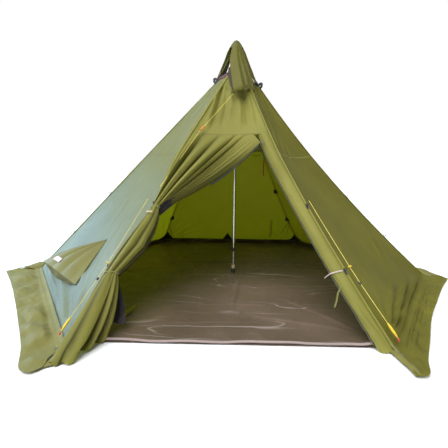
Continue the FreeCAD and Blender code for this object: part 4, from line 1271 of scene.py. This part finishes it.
def flap_points():
    """The open front gore: hangs forward from the tip, with folds to the right and its hem turned up."""
    down = FLAP_FOOT - FLAP_TOP
    length = np.linalg.norm(down)
    down = down / length
    out = unit(np.cross(down, np.array([-1.0, 0, 0])))
    if out[1] > 0:
        out = -out
    u = np.linspace(0, 1, 61)
    rows = []
    for v in np.linspace(0, 1, 60):
        left = np.interp(v, (0, 0.10, 0.42, 0.8, 1), (-0.020, -0.040, -0.066, -0.040, -0.022))
        right = np.interp(v, (0, 0.10, 0.42, 0.8, 1), (0.020, 0.050, 0.112, 0.172, 0.190))
        x = left + (right - left) * u
        bow = 0.040 * np.sin(math.pi * (0.15 + 0.85 * u)) * (0.4 + 0.6 * v)
        wave = 0.016 * np.cos(2 * math.pi * 3.1 * u ** 1.3 + 0.5) * step_up(v, 0.1, 0.75) * step_up(u, 0.25, 0.55)
        lift = 0.012 + bow + wave - 0.030 * (1 - step_up(v, 0.0, 0.14)) - 0.165 * step_up(u, 0.30, 1.15) * v
        far = v * (length + 0.012) - 0.150 * step_up(u, 0.25, 1.1) * v ** 2
        rows.append(FLAP_TOP + np.array([1.0, 0, 0]) * x[:, None] + down * far[:, None] + out * lift[:, None])
    last = rows[-1]
    for step in np.linspace(0, 1, 12)[1:]:
        turn = step * 2.7
        high = 0.016 + 0.010 * np.sin(math.pi * u)
        curl = (out * (high * (1 - math.cos(turn)))[:, None] + down * (high * math.sin(turn) * 1.2)[:, None]
                - down * (0.020 * step ** 2))
        rows.append(last + curl)
    return np.stack(rows)


def make_flap():
    """The flap's cloth and the tuck along its left edge."""
    points = flap_points()
    piece = grid_piece("hood_front", points, "flap", body="hood_flap")
    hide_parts("hood_flap")
    left_edge = points[34:59, 0]
    share = np.linspace(0, 1, len(left_edge))
    v = np.linspace(0, 1, 8)
    back = np.array([-0.030, 0.055, 0.030])
    tuck = (left_edge[:, None] + back * v[None, :, None] * (np.sin(math.pi * np.clip(share * 0.9 + 0.1, 0, 1)) ** 0.8)
            [:, None, None] + np.array([0.012, 0, 0]) * np.sin(v * 7)[None, :, None])
    # painted shade: the tuck is coloured near-black brown
    piece = grid_piece("hood_tuck", tuck, "tuck_painted_shade", body="hood_flap")
def make_hood_trim():
    """Strap and buckle beside the flap, and the ring at its corner."""
    strap = smooth_line([(0.150, -0.150, 2.075), (0.190, -0.150, 2.048), (0.232, -0.110, 2.010)], 14)
    add = ribbon(strap, [0.3, -0.4, 0.9], 0.018)
    grid_piece("hood_strap", add, "webbing_pale", thick=0.002)
    buckle = smooth_line([(0.226, -0.116, 2.020), (0.252, -0.098, 2.000), (0.262, -0.090, 1.985)], 8)
    tubes("hood_buckle", [buckle], 0.016, "black", sides=10, flat=0.6)
    turn = np.linspace(0, 2 * math.pi, 17)
    ring = np.stack([FLAP_CORNER_X + 0.009 * np.cos(turn), -0.366 + 0 * turn, 1.872 + 0.009 * np.sin(turn)], axis=1)
    tubes("hood_ring", [ring], 0.002, "black", sides=6, body="hood_flap", caps=False)


# ------------------------------------------------------------------ low side vent

VENT_TOP = np.array([-1.0714, -0.9754, 0.5431])
VENT_FOOT = np.array([-1.2278, -1.2400, 0.2248])
VENT_TIP = np.array([-1.7616, -0.5783, 0.2347])
MOUTH_TOP = np.array([-1.6867, -0.4773, 0.2056])
MOUTH_FOOT = np.array([-1.6700, -0.6570, 0.1161])


def seat(points, angle, lift):
    """The points dropped onto a side's surface, with that lift."""
    out = outward(angle)
    z = points[..., 2]
    first, second = seam(angle - 30, z), seam(angle + 30, z)
    along = sideways(angle)
    u = ((points - first) @ along) / ((second - first) @ along)
    return wall_point(angle, np.clip(u, 0, 1), z, 0.0) + out * lift


def canopy_top():
    """The canopy from its upper corner out to its far edge, pleated and standing off the wall."""
    out = outward(VENT_ANGLE)
    u = np.linspace(0, 1, 49)
    far = smooth_line([MOUTH_TOP, VENT_TIP + np.array([0.012, -0.045, 0.012]),
                       VENT_TIP * 0.62 + VENT_FOOT * 0.38 + out * 0.030,
                       VENT_TIP * 0.30 + VENT_FOOT * 0.70 + out * 0.016, VENT_FOOT], 49)
    rows = []
    top = seat(VENT_TOP[None], VENT_ANGLE, 0.004)[0]
    for v in np.linspace(0, 1, 50):
        row = top * (1 - v) + far * v
        pleat = np.abs(np.sin(math.pi * 5.2 * u ** 0.92 + 0.5)) ** 0.7
        lift = 0.060 * np.sin(math.pi * u) * math.sin(math.pi * min(1, v * 0.75)) ** 1.2
        lift = lift + 0.026 * (pleat - 0.55) * np.sin(math.pi * u) ** 0.5 * math.sin(math.pi * min(1, 0.1 + 0.8 * v))
        rows.append(row + out * lift[:, None])
    return np.stack(rows)


def canopy_side(main):
    """The canopy from its lower ridge down to the foot of its mouth."""
    foot = smooth_line([MOUTH_FOOT, MOUTH_FOOT * 0.55 + VENT_FOOT * 0.45 - np.array([0, 0, 0.022]), VENT_FOOT], 35)
    share = np.linspace(0, 1, 35)
    ridge = main[-1, 14:]
    ridge = resample(share, np.linspace(0, 1, len(ridge)), ridge)
    rows = []
    for v in np.linspace(0, 1, 18):
        puff = 0.018 * np.sin(math.pi * v) * (1 - share) ** 0.5 * np.cos(9 * share + 4 * v) * (share > 0)
        rows.append(ridge * (1 - v) + foot * v + outward(VENT_ANGLE) * puff[:, None])
    return np.stack(rows)


def make_vent():
    out = outward(VENT_ANGLE)
    main = canopy_top()
    canopy = merged("vent_canopy", [main, canopy_side(main)], "canopy")
    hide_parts("side_vent_canopy")
    anchor = tuple(seat(VENT_TIP[None], VENT_ANGLE, 0.0)[0])
    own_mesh(canopy)
    patch = main[37:43, 20:28] + out * 0.007
    label = grid_piece("vent_patch", patch, "label", thick=0.0012)
    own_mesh(label)
    s, t = np.meshgrid(np.linspace(-0.13, 0.23, 24), np.linspace(0.215, 0.405, 16))
    z = t * SLOPE
    share = side_share(VENT_ANGLE, s, z)
    piece = grid_piece("vent_mesh_low", wall_point(VENT_ANGLE, share, z, -0.006), "black_mesh")
    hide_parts("side_vent_mesh")


# ------------------------------------------------------------------ patches, loops and ties

TIERS = (0.43, 0.86)


def seam_patch(angle, height, width, tall, lift):
    """Small patch folded over a corner seam; a negative lift puts it on the inside."""
    out = away(angle, 0.8) / math.hypot(1, 0.8)
    share = np.linspace(-1, 1, 9)
    rows = []
    for v in np.linspace(-1, 1, 11):
        at = seam(angle, height + v * tall / 2 / math.sqrt(2))
        half = width / 2 * (1 - 0.55 * max(0, v)) * (1 - 0.15 * v ** 4)
        drop = np.abs(share) * half * 0.40
        rows.append(at + sideways(angle) * (share * half)[:, None] + out * (lift - drop)[:, None])
    return np.stack(rows)


def make_patches():
    outer, inner, loops = [], [], []
    for angle in range(0, 360, 60):
        for height in TIERS:
            outer.append(seam_patch(angle, height, 0.026, 0.048, 0.006))
            inner.append(seam_patch(angle, height, 0.060, 0.085, -0.012))
            bend = np.linspace(0, 2 * math.pi, 22)
            line = (seam(angle, height + 0.012) + away(angle, 0.35) * (0.004 + 0.010 * (1 - np.cos(bend)))[:, None]
                    + UP * (0.010 * np.sin(bend))[:, None])
            loops.append(ribbon(line, sideways(angle), 0.010))
    piece = merged("seam_patches", outer, "webbing_black", thick=0.0015)
    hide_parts("guy_patches")
    merged("inner_patches", inner, "webbing_black", thick=0.0015)
    merged("guy_loops", loops, "webbing_black", thick=0.0015)
    bars = []
    for side, sign in (("left", -1), ("right", 1)):
        place = np.array(GUY_ROUTES[side][1])
        bars.append(np.array([place + np.array([sign * step, -abs(step) * 0.2, step * 0.4])
                              for step in np.linspace(-0.011, 0.011, 7)]) + np.array([0, 0, 0.010]))
    tubes("guy_toggles", bars, 0.0050, "yellow", sides=10)


def wall_inside(angle, s, z, depth=0.010):
    """Points just inside a side, at places along it and heights."""
    s, z = np.broadcast_arrays(np.asarray(s, float), np.asarray(z, float))
    return wall_point(angle, np.clip(side_share(angle, s, z), 0, 1), z, -depth)


def make_inner_webbing():
    """Tabs between the walls and the groundsheet, and the straps over them."""
    parts = []
    for angle, s in ((90, 0.05), (30, 1.0), (90, -1.0), (90, 0.98), (150, -1.0), (30, -1.0), (150, 1.0)):
        half = np.linspace(-1, 1, 7)
        rows = [wall_inside(angle, s + half * 0.085 * (1 - 0.85 * v), 0.050 + 0.130 * v, 0.014)
                for v in np.linspace(0, 1, 8)]
        parts.append(np.stack(rows))
    merged("floor_tabs", parts, "webbing_black", thick=0.0015)
    straps = []
    for angle, s, low, high, wide in ((90, 0.05, 0.13, 0.22, 0.008), (90, 0.74, 0.05, 0.22, 0.005),
                                      (30, 0.94, 0.13, 0.26, 0.008), (90, 0.92, 0.13, 0.26, 0.008)):
        z = np.linspace(low, high, 10)
        line = wall_inside(angle, s + 0.006 * np.sin(30 * z), z, 0.018)
        straps.append(ribbon(line, sideways(angle), wide))
    merged("inner_straps", straps, "webbing_black", thick=0.001)
def make_inner_cords():
    """Cords that hang on the inside of the back wall."""
    hanging = []
    for s, low, high in ((-0.62, 0.13, 0.42), (-0.60, 0.12, 0.44)):
        z = np.linspace(low, high, 12)
        hanging.append(wall_inside(90, s + 0.03 * (z - low) + 0.004 * np.sin(20 * z), z, 0.020))
    z = np.linspace(0.20, 0.50, 14)
    hanging.append(wall_inside(90, -0.90 + 0.16 * (0.50 - z), z, 0.030))
    hanging.append(wall_inside(90, -0.90 + 0.45 * (0.50 - z), z, 0.034))
    tubes("inner_cords", hanging, 0.0035, "cord_black", sides=6)
def make_inner_cloth():
    """The strip inside the back hem, and the pale mesh in the back wall."""
    s = np.linspace(-1.05, 1.05, 60)
    strips = []
    for angle in (30, 90, 150):
        rows = [wall_inside(angle, s, z, 0.012) for z in np.linspace(0.012, 0.075, 5)]
        strips.append(np.stack(rows))
    piece = merged("hem_strip", strips, "hem_inside")
    u = np.linspace(-0.42, -0.06, 26)
    rows = [wall_inside(90, u, z, 0.014) for z in np.linspace(1.385, 1.56, 14)]
    piece = grid_piece("back_mesh", np.stack(rows), "pale_mesh")
def make_pull_guides():
    """Two short cords that hold the red pull."""
    hang = []
    for sign, reach in ((-1, 0.10), (1, 0.06)):
        hang.append(smooth_line([(0.400, 0.676, 1.350), (0.400 + sign * reach, 0.690, 1.310),
                                 (0.400 + sign * reach * 1.7, 0.700, 1.345)], 12))
    tubes("pull_guides", hang, 0.0022, "cord_black", sides=6)


def strip_line(z, offsets):
    """Smooth line through places counted from the door strip's zip at one height."""
    edge = front_at(zip_line(np.array(z)), np.array(z))
    return smooth_line([edge + np.array(offset) for offset in offsets], 16)


def make_strip_ties():
    """The pale tie and the green ribbon on the door strip."""
    pale = strip_line(0.43, [(0.075, -0.030, 0.020), (0.03, -0.030, 0.010), (-0.010, -0.012, -0.010),
                             (-0.045, 0.0, -0.045)])
    grid_piece("strip_tie", ribbon(pale, [0.2, -0.2, 1.0], 0.014), "webbing_pale", thick=0.0015)
    hang = strip_line(0.335, [(0.004, 0.004, 0.010), (-0.016, 0.010, -0.040), (-0.022, 0.014, -0.100),
                              (-0.034, 0.016, -0.150)])
    grid_piece("strip_ribbon", ribbon(hang, [0.8, -0.6, 0.1], 0.014), "webbing_green", thick=0.0015)


def make_guy_tabs():
    """Red tabs at the feet of the side guy lines."""
    tabs = []
    for side, sign in (("left", -1), ("right", 1)):
        end = np.array(GUY_ROUTES[side][-1])
        offsets = ((-sign * 0.002, 0.002, 0.004), (sign * 0.002, -0.005, -0.006), (sign * 0.002, -0.010, -0.016))
        line = smooth_line([end + np.array(offset) for offset in offsets], 12)
        tabs.append(ribbon(line, [1.0, -0.3 * sign, 0.1], 0.012))
    merged("guy_tabs", tabs, "webbing_red", thick=0.0015)


PEG_REACH = np.array([2.095, 2.130, 2.160, 2.176, 2.186, 2.176, 2.165])
PEG_HIGH = np.array([0.050, 0.030, 0.014, 0.010, 0.0115, 0.004, 0.003])


def make_peg_loops():
    """Webbing from each corner of the hem to its peg ring and back."""
    loops = []
    for angle in range(0, 360, 60):
        line = smooth_line(away(angle) * PEG_REACH[:, None] + UP * PEG_HIGH[:, None], 26)
        loops.append(ribbon(line, sideways(angle), 0.020))
    merged("peg_webbing", loops, "webbing_green", thick=0.0015)


def make_floor_tab():
    """The small bright tab on the groundsheet behind the door's foot."""
    corners = [np.array([(-0.875, -1.300, 0.012), (-0.800, -1.360, 0.010)]),
               np.array([(-0.760, -1.190, 0.050), (-0.745, -1.215, 0.045)])]
    rows = [corners[0] * (1 - v) + corners[1] * v for v in np.linspace(0, 1, 8)]
    cols = np.stack([[row[0] * (1 - w) + row[1] * w + np.array([0, 0, 0.01 * math.sin(3 * w)])
                      for w in np.linspace(0, 1, 6)] for row in rows])
    grid_piece("floor_tab", cols, "tab", thick=0.0015)


make_crown_cloth()
make_crown_webbing()
make_hood()
make_vent()
make_patches()
make_inner_webbing()
make_inner_cords()
make_inner_cloth()
make_pull_guides()
make_strip_ties()
make_guy_tabs()
make_peg_loops()
make_floor_tab()

# ------------------------------------------------------------------ room, light and the end

SHOWN_FINISH = {
    "zip_coil": ("door_zip_slider", "net_zip_slider"),
    "alloy": ("pole_top_tube", "pole_middle_tube", "pole_holder_tube", "pole_spigots", "pole_extension_tube"),
    "black": ("pole_clamp", "pole_cap", "guy_beads"),
    "rubber": ("pole_foot",),
    "beige": ("pole_collar", "door_toggle"),
    "steel": ("peg_rings",),
    "yellow": ("guy_adjuster_left", "guy_adjuster_right"),
    "orange": ("hood_adjuster",),
    "wire": ("side_vent_stay",),
    "webbing_red": ("pull_strap",),
}


def finish_cad_nodes():
    for mat, names in SHOWN_FINISH.items():
        for name in names:
            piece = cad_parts[name]
            piece.data.materials.clear()
            piece.data.materials.append(MATS[mat])


WORLD_LIGHT = 0.38
GROUND_HALF = 60.0


def make_ground():
    sh = Shader("pale_floor")
    grain = sh.noise(sh.place(uv=False), 3.0, 3.0)
    tone = sh.ramp(grain, (0.3, (0.93, 0.93, 0.93)), (0.7, (0.96, 0.96, 0.95)))
    mat = sh.finish(sh.principled(tone, 0.9))
    ground = bpy.data.meshes.new("ground")
    side, low = GROUND_HALF, -0.003
    ground.from_pydata([(-side, -side, low), (side, -side, low), (side, side, low), (-side, side, low)],
                       [], [(0, 1, 2, 3)])
    ground.materials.append(mat)
    piece = bpy.data.objects.new("ground", ground)
    bpy.context.collection.objects.link(piece)
def make_world():
    """Soft light from all round, cooler on the left, with a plain white backdrop."""
    world = bpy.data.worlds.new("studio")
    world.use_nodes = True
    sky = Nodes(world.node_tree)
    across = sky.node("ShaderNodeSeparateXYZ", {0: sky.node("ShaderNodeTexCoord").outputs["Generated"]}).outputs[0]
    tint = sky.ramp(across, (0.0, (0.62, 0.86, 1.25)), (0.75, (0.46, 0.43, 0.34)))
    room = sky.node("ShaderNodeBackground", {0: tint, 1: WORLD_LIGHT}).outputs[0]
    white = sky.node("ShaderNodeBackground", {0: (1, 1, 1, 1), 1: 1.0}).outputs[0]
    seen = sky.node("ShaderNodeLightPath").outputs["Is Camera Ray"]
    mix = sky.node("ShaderNodeMixShader", {0: seen, 1: room, 2: white}).outputs[0]
    sky.node("ShaderNodeOutputWorld", {0: mix})
    bpy.context.scene.world = world
    bpy.context.scene.view_settings.view_transform = "Standard"

def sun(name, toward, power, angle, colour=(1, 1, 1)):
    """Light from very far away; toward points from the tent to the light."""
    data = bpy.data.lights.new(name, "SUN")
    data.energy, data.angle, data.color = power, math.radians(angle), colour
    lamp = bpy.data.objects.new(name, data)
    bpy.context.collection.objects.link(lamp)
    lamp.rotation_euler = Vector(toward).to_track_quat("Z", "Y").to_euler()


def area_light(name, place, aim, size, power, colour=(1, 1, 1)):
    data = bpy.data.lights.new(name, "AREA")
    data.shape, data.size, data.energy, data.color = "DISK", size, power, colour
    lamp = bpy.data.objects.new(name, data)
    bpy.context.collection.objects.link(lamp)
    lamp.location = place
    lamp.rotation_euler = (Vector(aim) - Vector(place)).to_track_quat("-Z", "Y").to_euler()


def make_lights():
    sun("key", (-0.28, -0.62, 0.74), 2.75, 50, (1.0, 0.985, 0.95))
    sun("top", (-0.25, -0.10, 1.0), 1.6, 70)
    area_light("rear", (-2.4, 6.8, 4.5), (-0.3, 0, 0.9), 3.0, 50, (1.0, 1.0, 0.95))
    area_light("sky_left", (-5.4, 1.6, 1.6), (-1.4, -0.9, 0.6), 2.6, 150, (0.45, 0.68, 1.0))


finish_cad_nodes()
make_ground()
make_world()
make_lights()
